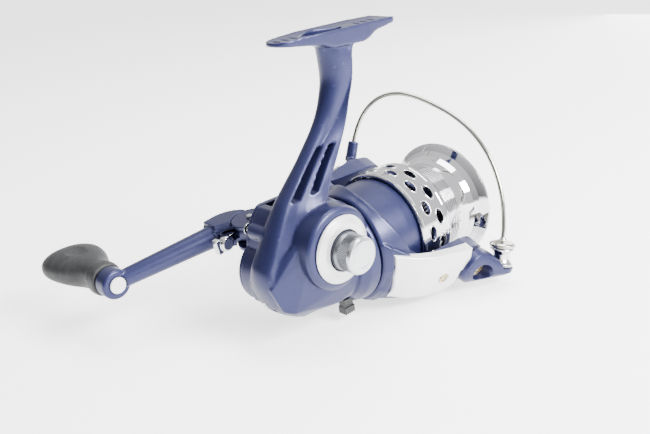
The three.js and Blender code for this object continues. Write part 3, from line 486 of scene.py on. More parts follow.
# ------------------------------------------------------------------ floor and light
floor_z = CAD_BOX[0].z - 0.0006
fm = bpy.data.meshes.new("floor")
n = 48
fm.from_pydata([(0.0, 0.0, 0.0)] + [(6 * math.cos(2 * math.pi * i / n), 6 * math.sin(2 * math.pi * i / n), 0) for i in range(n)],
               [], [(0, i + 1, (i + 1) % n + 1) for i in range(n)])
floor = bpy.data.objects.new("floor", fm)
floor.location = (0, 0, floor_z)
COL.objects.link(floor)
fmat = bpy.data.materials.new("floor_white_painted_glow")
fmat.use_nodes = True
FN, FL = fmat.node_tree.nodes, fmat.node_tree.links
fb = FN["Principled BSDF"]
ftc = FN.new("ShaderNodeTexCoord")
fno = FN.new("ShaderNodeTexNoise")
fno.inputs["Scale"].default_value = 3.0
fra = FN.new("ShaderNodeMapRange")
fra.inputs["To Min"].default_value, fra.inputs["To Max"].default_value = 0.86, 0.9
fco = FN.new("ShaderNodeCombineColor")
FL.new(ftc.outputs["Object"], fno.inputs["Vector"])
FL.new(fno.outputs["Fac"], fra.inputs["Value"])
for i in range(3):
    FL.new(fra.outputs[0], fco.inputs[i])
FL.new(fco.outputs[0], fb.inputs["Base Color"])
fb.inputs["Roughness"].default_value = 0.7
fb.inputs["Specular IOR Level"].default_value = 0.2
# painted light: the floor glows with white emission whose strength rises from 0.3 to 1.7 towards +X and +Y, a painted
# pool of light and its falloff
fb.inputs["Emission Color"].default_value = (1, 1, 1, 1)
fdot = FN.new("ShaderNodeVectorMath")
fdot.operation = "DOT_PRODUCT"
fdot.inputs[1].default_value = (0.75, 0.35, 0)
floor_glow_ramp = FN.new("ShaderNodeMapRange")
floor_glow_ramp.interpolation_type = "SMOOTHSTEP"
floor_glow_ramp.inputs["From Min"].default_value, floor_glow_ramp.inputs["From Max"].default_value = -0.9, 0.0
floor_glow_ramp.inputs["To Min"].default_value, floor_glow_ramp.inputs["To Max"].default_value = 0.3, 1.7
FL.new(ftc.outputs["Object"], fdot.inputs[0])
FL.new(fdot.outputs["Value"], floor_glow_ramp.inputs["Value"])
FL.new(floor_glow_ramp.outputs[0], fb.inputs["Emission Strength"])
fm.materials.append(fmat)

world = bpy.data.worlds.new("studio")
world.use_nodes = True
WN, WL = world.node_tree.nodes, world.node_tree.links
wbg = WN["Background"]
wtc = WN.new("ShaderNodeTexCoord")
wdot = WN.new("ShaderNodeVectorMath")
wdot.operation = "DOT_PRODUCT"
wdot.inputs[1].default_value = (0.72, -0.25, 0.65)
wra = WN.new("ShaderNodeMapRange")
wra.interpolation_type = "SMOOTHSTEP"
wra.inputs["From Min"].default_value, wra.inputs["From Max"].default_value = -0.55, 0.45
wra.inputs["To Min"].default_value, wra.inputs["To Max"].default_value = 0.22, 1.35
WL.new(wtc.outputs["Generated"], wdot.inputs[0])
WL.new(wdot.outputs["Value"], wra.inputs["Value"])
WL.new(wra.outputs[0], wbg.inputs["Strength"])
wbg.inputs["Color"].default_value = (1.0, 1.0, 1.0, 1)
SC.world = world


def area(name, loc, target, size, power, size_y=None, color=(1, 1, 1)):
    d = bpy.data.lights.new(name, "AREA")
    d.shape = "RECTANGLE"
    d.size, d.size_y, d.energy, d.color = size, size_y or size, power, color
    o = bpy.data.objects.new(name, d)
    COL.objects.link(o)
    o.location = loc
    o.rotation_euler = (Vector(target) - Vector(loc)).to_track_quat("-Z", "Y").to_euler()
    return o


C0 = Vector((0.0, 0.0, -0.08))
area("key", C0 + Vector((0.14, -0.62, 0.42)), C0, 0.34, 22.0, 0.3)
area("top", C0 + Vector((0.2, 0.0, 0.8)), C0, 0.6, 9.0, 0.4)
area("right", C0 + Vector((0.75, 0.1, 0.2)), C0, 0.35, 4.0, 0.6)

# ------------------------------------------------------------------ housing
def spline_rows(rows, step):
    """Smooth rows (first entry is the height) at an even height step."""
    rows = [A(*r) for r in rows]
    out = []
    for k in range(len(rows) - 1):
        p0, p1, p2, p3 = rows[max(k - 1, 0)], rows[k], rows[k + 1], rows[min(k + 2, len(rows) - 1)]
        n_ = max(1, int(round((p2[0] - p1[0]) / step)))
        for i in range(n_):
            t = i / n_
            h = p2[0] - p1[0]
            m1 = (p2 - p0) / max(p2[0] - p0[0], 1e-6) * h
            m2 = (p3 - p1) / max(p3[0] - p1[0], 1e-6) * h
            q = (2 * t ** 3 - 3 * t ** 2 + 1) * p1 + (t ** 3 - 2 * t ** 2 + t) * m1 + (-2 * t ** 3 + 3 * t ** 2) * p2 + (t ** 3 - t ** 2) * m2
            out.append(q)
    out.append(rows[-1])
    return out


STEM = [(-17.0, 12, 8.0, -14, 7.0, 2.0, 0.5), (-12, 15, 11.0, -21.5, 9.6, 3.0, 0.5), (-5, 15, 12.4, -24.6, 9.2, 4.0, 0.5),
        (2, 15, 12.6, -27.0, 7.6, 3.6, 0.5), (8, 15, 12.4, -27.2, 6.2, 2.8, 1.6), (13, 14.5, 12.0, -24.4, 6.0, 2.8, 2.2),
        (18, 12.5, 11.4, -21.4, 5.6, 2.8, 2.2), (24, 8.0, 10.8, -17.8, 5.0, 2.8, 2.0), (28, 3.1, 10.2, -15.2, 4.6, 2.8, 1.6),
        (32, 5.1, 9.4, -12.2, 4.2, 3.0, 1.0), (38, 7.9, 8.8, -6.4, 3.9, 3.2, 0.5), (44, 12.1, 8.2, -0.1, 3.6, 3.8, 0.5),
        (50, 15.8, 7.8, 6.2, 3.8, 4.8, 0.5), (56, 19.2, 7.5, 12.5, 4.1, 6.0, 0.2), (62, 21.7, 7.4, 17.6, 4.8, 7.0, 0),
        (68, 23.1, 7.5, 21.2, 5.8, 7.8, 0), (74, 24.7, 7.7, 23.6, 6.8, 8.2, 0), (80, 25.5, 7.8, 24.2, 7.4, 8.6, 0),
        (86, 26.8, 7.8, 23.4, 7.0, 8.6, 0), (92, 31.0, 7.0, 27.6, 6.4, 15.0, 0)]


def stem_ring(z, xf, wf, xc, wc, d, full):
    c = min(1.2, (xf - xc) * 0.4)

    def side(k, s):
        return A(xf - c + (xc - xf + c) * k, s * (wf + (wc - wf) * k + full * 4 * k * (1 - k)), z)
    p = [A(xf, -wf + c, z), A(xf, wf - c, z)] + [side(k, 1) for k in (0, 0.2, 0.4, 0.6, 0.8)]
    for i in range(25):
        a = math.pi / 2 + math.pi * i / 24
        p.append(A(xc + d * math.cos(a), wc * math.sin(a), z))
    return p + [side(k, -1) for k in (0.8, 0.6, 0.4, 0.2, 0)]


stem = loft([stem_ring(*q) for q in spline_rows(STEM, 1.0)])
pts = []
for i in range(72):
    a = 2 * math.pi * i / 72
    pts.append((9.5, 18.6 * math.cos(a), 18.6 * math.sin(a) - 1))
for s in (-1, 1):
    pts += [(-26.6, 6.4 * s, 6.2), (-12.0, 14.4 * s, 13.2), (8, 15.0 * s, 13.2), (-28.8, 3.6 * s, 6.6), (-29.6, 6.8 * s, 1.0),
            (-14.6, 11.8 * s, 19.4), (6, 12.6 * s, 19.4), (-22.4, 11.6 * s, -10.4), (-26.2, 9.4 * s, -9.0), (-20.4, 9.4 * s, -13.6),
            (0, 13.4 * s, -14.6), (0, 9.0 * s, -17.4)]
gear_case = hull(pts)

FX0, FX1 = -10.0, 54.8
outline = [(FX0 + 7 + 7 * math.cos(math.pi / 2 + math.pi * i / 28), 6.4 * math.sin(math.pi / 2 + math.pi * i / 28)) for i in range(29)]
outline += [(10, -7.9), (36, -7.9), (51.8, -6.9), (FX1, -4.6), (FX1, 4.6), (51.8, 6.9), (36, 7.9), (10, 7.9)]
foot = prism(outline, 86, 95.4, PXY)
side = [(FX0 - 1, 96), (FX0 - 1, 92.6), (-2, 91.6), (9, 90.4), (12, 89.4), (15, 88.2), (33, 87.6), (36.5, 88.6), (40, 90.6), (FX1 + 1, 92.6), (FX1 + 1, 96)]
foot = both(foot, plate_xz(side, -9, 9))
sad = [(-2.5, 94.0)] + [(-2.5 - i * 0.33, 94.0 + 0.042 * (i * 0.3) ** 2) for i in range(1, 21)] + [(-9.1, 97), (9.1, 97)]
sad += [(2.5 + i * 0.33, 94.0 + 0.042 * (i * 0.3) ** 2) for i in range(20, 0, -1)] + [(2.5, 94.0)]
foot = cut(foot, prism(sad, FX0 - 2, FX1 + 2, PYZ))

housing = join(stem, gear_case, foot,
               lathe_x([[8, 0], [8, 20], [12, 22.4], [16.2, 23.4], [17.2, 23.2], [17.2, 19.8], [19.4, 19.8], [19.4, 14.6], [22.4, 14.6], [24, 11.2], [38.6, 11.2], [38.6, 0]], 128),
               lathe_y([[-17.8, 0], [-17.8, 15.2], [-17.2, 16.8], [-16.2, 17.7], [-8, 17.9], [-8, 0]], 128, 0, AXIS_Z),
               both(rod_y(4, 13.5, 22.6, 96, 0, AXIS_Z), box(-40, 13.9, 0, 20, -40, 28)), rod_y(4, 13.5, 15.4, 72, -13.0, 0.57),
               both(lathe_y([[-9.6, 0], [-9.6, 14.4], [-6.2, 18.4], [-4, 18.9], [13.5, 18.9], [13.5, 0]], 96, 0, AXIS_Z), box(-40, 15.6, -20, 20, -40, 28)))
housing = cut(housing, join(both(rod_y(13.5, 40, 22.7, 96, 0, AXIS_Z), box(-40, 13.9, 0, 60, -40, 28)), rod_y(13.5, 40, 15.5, 72, -13.0, 0.57)),
              rod_y(-40, -17.8, 14.8, 96, 0, AXIS_Z),
              lathe_y([[-8.6, 0], [-8.6, 13.6], [-5.4, 17.5], [14, 17.5], [14, 0]], 96, 0, AXIS_Z),
              both(rod_y(-2.6, 14, 20.0, 96, 0, AXIS_Z), box(-40, 12.8, -3, 15, -40, 28)), rod_y(-2.6, 14, 13.2, 72, -13.0, 0.57),
              box(-25.8, 3.4, -3.2, 14, -11.5, 6.2),
              rod_y(-18.4, -8.0, 8.0, 64, 0, AXIS_Z),
              lathe_x([[8, 0], [8, 5.4], [23.7, 5.4], [23.7, 9.5], [39, 9.5], [39, 0]], 72))
lens = []
for i in range(25):
    lens.append((0.5 + 26 * i / 24, -5.2 * math.sin(math.pi * (0.05 + 0.9 * i / 24))))
for i in range(24, -1, -1):
    lens.append((0.5 + 26 * i / 24, 5.2 * math.sin(math.pi * (0.05 + 0.9 * i / 24))))
housing = cut(housing, prism([(p[0] * 0.86 + 4.6, p[1]) for p in lens], 90.4, 97, PXY))
for x in (-6.8, -2.6, 1.6, 36.2, 40.5, 44.8):
    housing = cut(housing, box(x - 0.65, x + 0.65, -2.4, 2.4, 93.0, 96))


def window(a, b):
    return plate_xz([(a[0] - 1.7, a[1]), (a[0] + 2.2, a[1] + 0.8), (b[0] + 1.5, b[1]), (b[0] - 1.9, b[1] - 1.2)], -20, 20)


housing = cut(housing, window((-10.6, 31.6), (7.0, 51.2)), window((-2.6, 33.2), (11.6, 51.4)))
for x, z in ((10.4, 28.0), (-19.6, 19.2), (6.6, -7.6)):
    housing = cut(join(housing, rod_y(3, 13.4, 3.2, 40, x, z)), rod_y(4.4, 14, 1.5, 32, x, z))
housing = cut(housing, box(6.4, 13.2, -10.6, -2.6, -25, -15.4))
piece("body_casting", cast(housing, 0.42, 4), M["blue_paint"], "frame", ["housing"])

# side cover on the handle side
cover = join(both(lathe_y([[13.8, 0], [13.8, 22.4], [15.2, 22.4], [16.4, 20.6], [16.4, 0]], 128, 0, AXIS_Z), box(-40, 13.6, 10, 20, -40, 28)),
             lathe_y([[13.8, 0], [13.8, 15.2], [15.2, 15.2], [16.4, 13.6], [16.4, 0]], 96, -13.0, 0.57),
             lathe_y([[14, 0], [14, 12.4], [20.2, 10.4], [20.2, 0]], 96, 0, AXIS_Z))
cover = cut(cover, rod_y(15.3, 21, 7.8, 64, 0, AXIS_Z), rod_y(13, 16, 5.2, 64, 0, AXIS_Z))
for x, z in ((10.4, 28.0), (-19.6, 19.2), (6.6, -7.6)):
    cover = cut(cover, rod_y(13, 17, 1.5, 32, x, z), rod_y(15.2, 17, 2.9, 48, x, z))
piece("gear_cover", cast(cover, 0.3, 3), M["blue_paint"], "frame", ["side_cover"])


def screw(m, r, h, cross=0.34, slot_only=False):
    """Pan head with a recess; local Z points out of the head, z = 0 under the head"""
    head = lathe([[-0.8, 0], [-0.8, r * 0.5], [0, r * 0.5], [0, r], [h * 0.45, r], [h * 0.85, r * 0.8], [h, r * 0.45], [h, 0]], 48, np.eye(4), r=0.15)
    w, l = cross, r * 0.72
    head = cut(head, box(-l, l, -w, w, h * 0.4, h + 1))
    if not slot_only:
        head = cut(head, box(-w, w, -l, l, h * 0.4, h + 1))
    head.transform(Matrix([list(map(float, row)) for row in m]))
    return head


for i, (x, z) in enumerate(((10.4, 28.0), (-19.6, 19.2), (6.6, -7.6))):
    piece("cover_screw_head_%d" % (i + 1), screw(frame_of(A(x, 15.4, z), A(1, 0, 0), A(0, 0, -1), A(0, 1, 0)), 2.5, 1.3), M["steel"], "frame", ["cover_screw_%d" % (i + 1)], sharp=35)

piece("trim_ring", lathe_y([[-18.1, 8.6], [-18.1, 14.3], [-18.6, 14.4], [-19.3, 13.7], [-20.4, 11.2], [-20.4, 8.9], [-20.1, 8.6], [-18.1, 8.6]], 160, 0, AXIS_Z, r=0.3), M["silver_paint"], "frame", ["bezel_ring"], sharp=50)

# knurled cap: diagonal teeth cut in the band, turned rings at both ends
def knurl(a, r, t):
    if -27.75 < a < -22.6 and r > 7.2:
        return r + 0.24 * math.sin(48 * t + (a + 23) * 4.6) * max(0.0, min(1.0, (a + 27.75) * 3, (-22.65 - a) * 3))
    return r


face = [[-29.7, 0], [-29.7, 4.6], [-29.9, 5.2], [-30.1, 6.2], [-29.7, 7.3], [-28.9, 7.8], [-28.0, 7.8], [-27.7, 7.5], [-27.7, 0]]
piece("cap_face", lathe_y(face, 192, 0, AXIS_Z, r=0.12), M["aluminium"], "crank", ["crank_cap"], sharp=40)
band = [[-27.68, 0], [-27.68, 7.3]] + [[-27.6 + 5.0 * i / 26, 7.55] for i in range(27)] + [[-22.55, 7.3], [-22.3, 7.7], [-21.2, 7.9], [-20.9, 7.5], [-20.8, 6.8], [-20.8, 0]]
piece("cap_band", lathe_y(band, 480, 0, AXIS_Z, shape=knurl), M["knurl"], "crank", [], sharp=60)
piece("cap_collar", lathe_y([[-21.0, 0], [-21.0, 7.0], [-20.7, 8.2], [-18.2, 8.3], [-18.2, 0]], 128, 0, AXIS_Z, r=0.1), M["dark_metal"], "crank", [], sharp=40)
piece("shank_collar", lathe_y([[20.6, 4.3], [20.6, 6.6], [23.4, 6.4], [23.8, 5.0], [24.6, 5.0], [24.6, 4.3], [20.6, 4.3]], 96, 0, AXIS_Z, r=0.25), M["dark_metal"], "crank", ["handle_shank"])

# ------------------------------------------------------------------ folding handle
E1 = unit([-63.0, 0, -11.2])
HK = unit(np.cross(E1, [0, 1, 0]))
O = A(0, 0, AXIS_Z)
HF = frame_of(O, E1, A(0, 1, 0), HK)
HS, HT = 5.8, 31.5
KS, KT = 64.0, 57.2
HB = lambda s0, s1, t0, t1, k0, k1: box(s0, s1, t0, t1, k0, k1, HF)


def h_cyl_k(s, t, k0, k1, r, n=72):
    return lathe([[k0, 0], [k0, r], [k1, r], [k1, 0]], n, HF @ frame_of(A(s, t, 0), A(1, 0, 0), A(0, 1, 0), A(0, 0, 1)))


def h_cyl_t(s, t0, t1, r, n=72, k=0.0, prof=None, rr=0.0):
    return lathe(prof or [[t0, 0], [t0, r], [t1, r], [t1, 0]], n, HF @ frame_of(A(s, 0, k), A(0, 0, 1), A(1, 0, 0), A(0, 1, 0)), r=rr)


def h_plate(poly, k0, k1):
    return prism(poly, k0, k1, HF)


def smooth_poly(pts, closed_idx, n=6):
    """Catmull-Rom through the points between two indices, straight elsewhere"""
    i0, i1 = closed_idx
    out = list(map(tuple, pts[:i0]))
    seg = [A(*p) for p in pts[i0:i1 + 1]]
    for k in range(len(seg) - 1):
        p0, p1, p2, p3 = seg[max(k - 1, 0)], seg[k], seg[k + 1], seg[min(k + 2, len(seg) - 1)]
        for j in range(n):
            t = j / n
            out.append(tuple(0.5 * (2 * p1 + (p2 - p0) * t + (2 * p0 - 5 * p1 + 4 * p2 - p3) * t * t + (3 * p1 - p0 - 3 * p2 + p3) * t ** 3)))
    out.append(tuple(seg[-1]))
    return out + list(map(tuple, pts[i1 + 1:]))


def cheek(k0, k1):
    return join(h_cyl_k(HS, HT, k0, k1, 8.4), HB(-0.8, 12.6, 25.2, HT, k0, k1))


bracket = join(rod_y(24.9, 26.9, 6.6, 72, 0, AXIS_Z), HB(-3.0, 12.6, 24.9, 26.9, -6.2, 6.4), cheek(4.6, 6.4), cheek(-6.2, -4.6))
bracket = cut(bracket, h_cyl_k(HS, HT, -9, 9, 1.45), h_cyl_k(HS, HT, -4.58, 4.58, 5.2), box(-30, 30, 10, 24.9, -20, 40))
piece("handle_hub", cast(bracket, 0.25, 6), M["blue_paint"], "crank", ["handle_bracket"])
piece("hinge_rivet", lathe([[-7.5, 0], [-7.5, 1.0], [-7.2, 1.3], [7.2, 1.3], [7.5, 1.0], [7.5, 0]], 40, HF @ frame_of(A(HS, HT, 0), A(1, 0, 0), A(0, 1, 0), A(0, 0, 1)), r=0.1), M["steel"], "crank", ["hinge_pin"])

elbow = [(1.6, 31.5), (1.6, 37.0), (2.2, 41.2), (4.4, 45.2), (8.0, 48.2), (12.6, 49.8), (19.0, 50.4), (19.8, 40.6), (15.6, 39.2), (12.6, 37.4), (10.6, 34.6), (10.0, 31.5)]
thick = [(1.4, 38.0), (2.2, 41.2), (4.4, 45.2), (8.0, 48.2), (12.6, 49.8), (18.2, 50.2), (18.6, 41.2), (14.4, 38.6), (12.6, 37.0)]


def rod_ab(a, b, prof, n=96, rr=0.0):
    """prof is (distance from a towards b, radius)"""
    z = unit(b - a)
    x = unit(np.cross(z, [0.3, 0.2, 1.0]))
    return lathe(prof, n, frame_of(a, x, np.cross(z, x), z), r=rr)


def hx(s, t, k=0.0):
    return apply(HF, A(s, t, k)[None])[0]


a0, a1 = hx(15, 44.3), hx(KS - 3, KT - 0.79)
Lr = float(np.linalg.norm(a1 - a0))
arm = join(h_plate(smooth_poly(elbow, (1, 6)), -4.3, 4.3), h_cyl_k(HS, HT, -4.3, 4.3, 4.2),
           cut(h_plate(smooth_poly(thick, (0, 5)), -6.2, 6.2), h_cyl_k(HS, HT, -9, 9, 8.9)),
           rod_ab(a0, a1, [[0, 0], [0, 5.0], [3, 5.3], [8, 5.0], [Lr, 3.9], [Lr, 0]]))
arm = cut(arm, h_cyl_k(HS, HT, -6, 6, 1.45), HB(11.0, 20.2, 30, 43.2, -2.3, 2.3))
KX, KZ, KY = float(O[0] + E1[0] * KS), float(O[2] + E1[2] * KS), KT
arm = join(arm, lathe_y([[KY - 3.4, 0], [KY - 3.4, 5.6], [KY - 2.6, 6.6], [KY + 3.6, 6.6], [KY + 4.4, 5.6], [KY + 4.4, 0]], 96, KX, KZ, r=0.5))
arm = cut(arm, rod_y(KY - 6, KY + 6, 2.62, 64, KX, KZ), rod_y(KY - 8, KY - 3.1, 4.0, 72, KX, KZ))
piece("crank_arm", cast(arm, 0.3, 10), M["blue_paint"], "handle", ["handle_arm"])
latch = join(HB(13.2, 16.6, 35.6, 42.6, -1.9, 1.9), HB(13.2, 23.4, 35.0, 37.0, -1.9, 1.9), HB(22.0, 24.4, 33.8, 37.0, -3.4, 3.4),
             h_cyl_t(19.4, 32.2, 36.6, 3.5, prof=[[32.2, 0], [32.2, 2.6], [32.7, 3.3], [33.6, 3.5], [35.4, 3.3], [36.6, 2.8], [36.6, 0]]))
piece("fold_catch", cast(latch, 0.16, 4), M["chrome"], "latch", ["fold_latch"])
spindle = lathe_y([[KY - 4.2, 0], [KY - 4.3, 3.2], [KY - 4.0, 3.6], [KY - 3.3, 3.6], [KY - 3.2, 2.3], [KY + 37, 2.3], [KY + 37, 0]], 64, KX, KZ, r=0.15)
piece("knob_pin", spindle, M["white_plastic"], "handle", ["knob_spindle"], sharp=50)

# soft paddle knob
KN = KY + 5.0
stations = [(0, 6.6, 6.6, 0), (0.6, 7.1, 7.1, 0), (4, 7.3, 7.3, 0), (8, 6.6, 6.7, 0), (12, 7.6, 6.6, 0), (18, 10.8, 6.9, 0), (25, 13.2, 7.0, 0), (32, 14.0, 6.7, 0), (37, 12.6, 5.8, 0), (39.6, 10.0, 4.8, 0), (40.8, 6.6, 3.4, 0), (41.2, 2.0, 1.4, 0)]
rings = []
for y, a, b, _ in spline_rows(stations, 0.7):
    rr = []
    for i in range(96):
        t = 2 * math.pi * i / 96
        e = 2 / 2.3
        rr.append(A(KX + a * math.copysign(abs(math.cos(t)) ** e, math.cos(t)), KN + y, KZ + b * math.copysign(abs(math.sin(t)) ** e, math.sin(t))))
    rings.append(rr)
knob = cut(loft(rings), rod_y(KN - 1, KN + 36, 2.45, 48, KX, KZ))
# thumb dish on both broad faces
for s in (1, -1):
    dish = lathe([[0, 0], [0, 1], [1, 0]], 8, np.eye(4))
    bm = bmesh.new()
    bmesh.ops.create_uvsphere(bm, u_segments=64, v_segments=32, radius=1.0)
    dish = bpy.data.meshes.new("d")
    bm.to_mesh(dish)
    bm.free()
    dish.transform(Matrix.Diagonal((9.0, 11.5, 5.0, 1)))
    dish.transform(Matrix.Translation((KX, KN + 26, KZ + s * (6.9 + 4.0))))
    knob = cut(knob, dish)
for y in (1.6, 3.0, 4.4):
    knob = cut(knob, lathe_y([[KN + y - 0.25, 6.9], [KN + y - 0.25, 9], [KN + y + 0.25, 9], [KN + y + 0.25, 6.9], [KN + y - 0.25, 6.9]], 96, KX, KZ))
piece("paddle_knob", cast(knob, 0.3, 4), M["rubber"], "knob", ["handle_knob"])

# ------------------------------------------------------------------ rotor
ANG = math.radians(25)
A_NEAR = A(0, -math.cos(ANG), -math.sin(ANG))
A_FAR = -A_NEAR
PIV = 63.4


def arm_frame(a):
    return frame_of(A(0, 0, 0), A(1, 0, 0), a, np.cross([1, 0, 0], a))


def a_plate(a, poly, t0, t1):
    return prism(poly, t0, t1, arm_frame(a))


def a_plan(a, poly, r0, r1):
    return prism([(p[0], -p[1]) for p in poly], r0, r1, arm_frame(a) @ frame_of(A(0, 0, 0), A(1, 0, 0), A(0, 0, -1), A(0, 1, 0)))


def a_cyl(a, x, t, r0, r1, rad, n=72, prof=None):
    return lathe(prof or [[r0, 0], [r0, rad], [r1, rad], [r1, 0]], n, arm_frame(a) @ frame_of(A(x, 0, t), A(1, 0, 0), A(0, 0, -1), A(0, 1, 0)))


def a_box(a, x0, x1, r0, r1, t0, t1):
    return box(x0, x1, r0, r1, t0, t1, arm_frame(a))


def curve_poly(pts, n=5):
    """closed smooth polygon"""
    p = [A(*q) for q in pts]
    N = len(p)
    out = []
    for k in range(N):
        p0, p1, p2, p3 = p[(k - 1) % N], p[k], p[(k + 1) % N], p[(k + 2) % N]
        for j in range(n):
            t = j / n
            out.append(tuple(0.5 * (2 * p1 + (p2 - p0) * t + (2 * p0 - 5 * p1 + 4 * p2 - p3) * t * t + (3 * p1 - p0 - 3 * p2 + p3) * t ** 3)))
    return out


arm_side = [(18.2, 18.0), (18.2, 23.6), (20.5, 25.2), (24, 27.4), (28, 30.2), (32, 32.6), (37, 34.7), (42, 36.2), (48, 37.6), (54, 38.6), (57, 38.8), (57, 36.6), (70.6, 36.6), (70.6, 29.4), (60, 28.9), (33.4, 28.6), (33.0, 22.0)]
arm_side = smooth_poly(arm_side, (1, 9), 5)
arm_plan = [(18.0, -17), (20, -16.4), (24, -14.6), (28, -13.0), (32, -11.8), (38, -11.0), (44, -10.7), (54, -10.5), (60, -10.2), (64, -9.6), (67, -8.6), (69.4, -7.0), (70.8, -4.4)]
arm_plan = arm_plan + [(x, -t) for x, t in arm_plan[::-1]]
rotor = lathe_x([[17.8, 22.0], [17.8, 23.3], [18.4, 23.7], [34, 24.6], [36, 24.7], [46.6, 24.7], [48.4, 23.4], [48.4, 0], [44.0, 0], [44.0, 22.4], [17.8, 22.0]], 192)
# rear flange: widest at the arms, with a step down to the cup
n_t = 240
v, f = [], []
for i in range(n_t):
    t = 2 * math.pi * i / n_t
    d = A(0, math.cos(t), math.sin(t))
    k = abs(float(d @ A_NEAR)) ** 2.2
    xe, re = 23.0 + 10.5 * k, 25.7 + 2.2 * k
    for x, r in ((17.8, 22.6), (17.8, 23.4), (18.6, 24.2), (0.5 * (18.6 + xe), 0.45 * 24.2 + 0.55 * re), (xe - 1.0, re), (xe, re - 0.35), (xe + 0.25, 24.2), (xe, 22.9)):
        v.append(A(x, 0, 0) + d * r)
for i in range(n_t):
    j = (i + 1) % n_t
    for k in range(8):
        l = (k + 1) % 8
        f.append((i * 8 + k, j * 8 + k, j * 8 + l, i * 8 + l))
rotor = join(rotor, mesh(v, f))
for a in (A_NEAR, A_FAR):
    m_ = both(both(a_plate(a, arm_side, -18, 18), a_plan(a, arm_plan, 10, 45)),
              lathe_x([[18, 0], [18, 24.2], [24, 28.4], [32, 33.4], [42, 37.2], [54, 40.2], [60, 41], [71, 41], [71, 0]], 192))
    rotor = join(rotor, m_)
rotor = cut(rotor, lathe_x([[17, 0], [17, 22.0], [43.9, 22.4], [43.9, 0]], 128),
            lathe_x([[33.6, 25.3], [33.6, 28.9], [72, 28.9], [72, 25.3], [33.6, 25.3]], 192), rod_x(40, 50, 3.9, 48))
for a in (A_NEAR, A_FAR):
    seat = lathe_x([[21.6, 26.2 - 1.5]] + [[x, float(np.interp(x, [18, 22, 24, 28, 32, 37, 42, 48, 54, 57], [24.8, 27.1, 28.4, 31.2, 33.5, 35.6, 37.1, 38.6, 39.7, 40.1])) - 1.3] for x in np.arange(22, 58.1, 1.0)] + [[58, 46], [21.6, 46], [21.6, 24.7]], 192)
    rotor = cut(rotor, both(seat, a_box(a, 20, 60, 15, 47, -16, 16)))
    rotor = cut(rotor, a_cyl(a, PIV, 0, 31.5, 38, 1.6), a_cyl(a, 44, 0, 29.8, 39, 0.9))
piece("rotor_casting", cast(rotor, 0.4, 4), M["blue_paint"], "rotor", ["rotor"])

# silver covers: crowned plates that follow the outside of the arms
COVER = [(21.0, -12.2), (23.5, -12.8), (34, -12.8), (46, -12.8), (57.0, -12.4), (57.8, -11.2), (57.6, -4), (55.8, 2.4), (52.4, 6.6), (47.5, 9.8), (41, 10.8), (34, 10.8), (25.5, 11.2), (22.8, 10.4), (23.4, 5.5), (22.6, 0), (21.4, -5.5)]


def cover_r(x):
    return float(np.interp(x, [18, 22, 24, 28, 32, 37, 42, 48, 54, 57], [24.8, 27.1, 28.4, 31.2, 33.5, 35.6, 37.1, 38.6, 39.7, 40.1]))


for side_, a in (("right", A_NEAR), ("left", A_FAR)):
    top = [(22.0, cover_r(22))] + [(x, cover_r(x)) for x in np.arange(23, 58, 1.0)]
    top = top + [(58, cover_r(58)), (59, cover_r(59))]
    low = [(x, r - 1.9) for x, r in top[::-1]]
    wrap = [(x, r - 6.2) for x, r in top[::-1] if x > 20]
    c = join(a_plate(a, top + low, -13.2, 13), a_plate(a, top + wrap, -13.2, -8.4))
    c = both(c, a_plan(a, curve_poly(COVER, 6), 14, 46))
    # crown across the arm
    c = both(c, lathe_x([[18, 0]] + [[x, cover_r(x) + 0.05] for x in np.arange(18, 58.1, 1.0)] + [[59.5, cover_r(59)], [59.5, 0]], 256))
    c = cut(c, a_cyl(a, PIV, 0, 30, 46, 9.2), a_cyl(a, 44, 0, 30, 45, 1.4), a_cyl(a, 44, 0, 36.9, 45, 2.75))
    if side_ == "right":
        # clears the carrier when the bail is open
        c = cut(c, a_box(a, 53.2, 62, 30, 50, -2.0, 15))
    piece("arm_shield_" + side_, cast(c, 0.25, 6), M["silver_paint"], "rotor", ["arm_cover_" + side_])
    F = arm_frame(a)
    sm = F @ frame_of(A(44, 36.9, 0), A(1, 0, 0), A(0, 0, -1), A(0, 1, 0))
    piece("shield_screw_" + side_, screw(sm, 2.35, 1.2, 0.3), M["cream"], "rotor", ["arm_cover_screw_" + side_], sharp=35)
    pr = 41.5 if side_ == "right" else 39.6
    pm = F @ frame_of(A(PIV, pr, 0), A(1, 0, 0), A(0, 0, -1), A(0, 1, 0))
    piece("pivot_screw_" + side_, merge(screw(pm, 3.7 if side_ == "right" else 2.9, 1.4, 0.42), lathe([[-8.6, 0], [-8.6, 1.3], [-0.4, 1.3], [-0.4, 0]], 40, pm)), M["cream"], "rotor", ["bail_screw_" + side_], sharp=35)

# ------------------------------------------------------------------ bail
P0, P1, WH, WN, WS, TILT, WR = A(78.1, -41.5, -12.6), A(65.5, 39.3, 17.5), 45.0, 2.48, -0.39, math.radians(65), 1.0


def bail_point(t):
    c, h = (P0 + P1) / 2, (P0 - P1) / 2
    L_, ah = np.linalg.norm(h), unit(h)
    X = unit(A(1, 0, 0) - ah * ah[0])
    w = np.cross(ah, X)
    if w[2] < 0:
        w = -w
    vv = X * math.cos(TILT) + w * math.sin(TILT)
    ct, st, e = math.cos(t), math.sin(t), 2 / WN
    a_, b_ = math.copysign(abs(ct) ** e, ct) * L_, abs(st) ** e * WH
    return c + ah * (a_ + WS * b_) + vv * b_


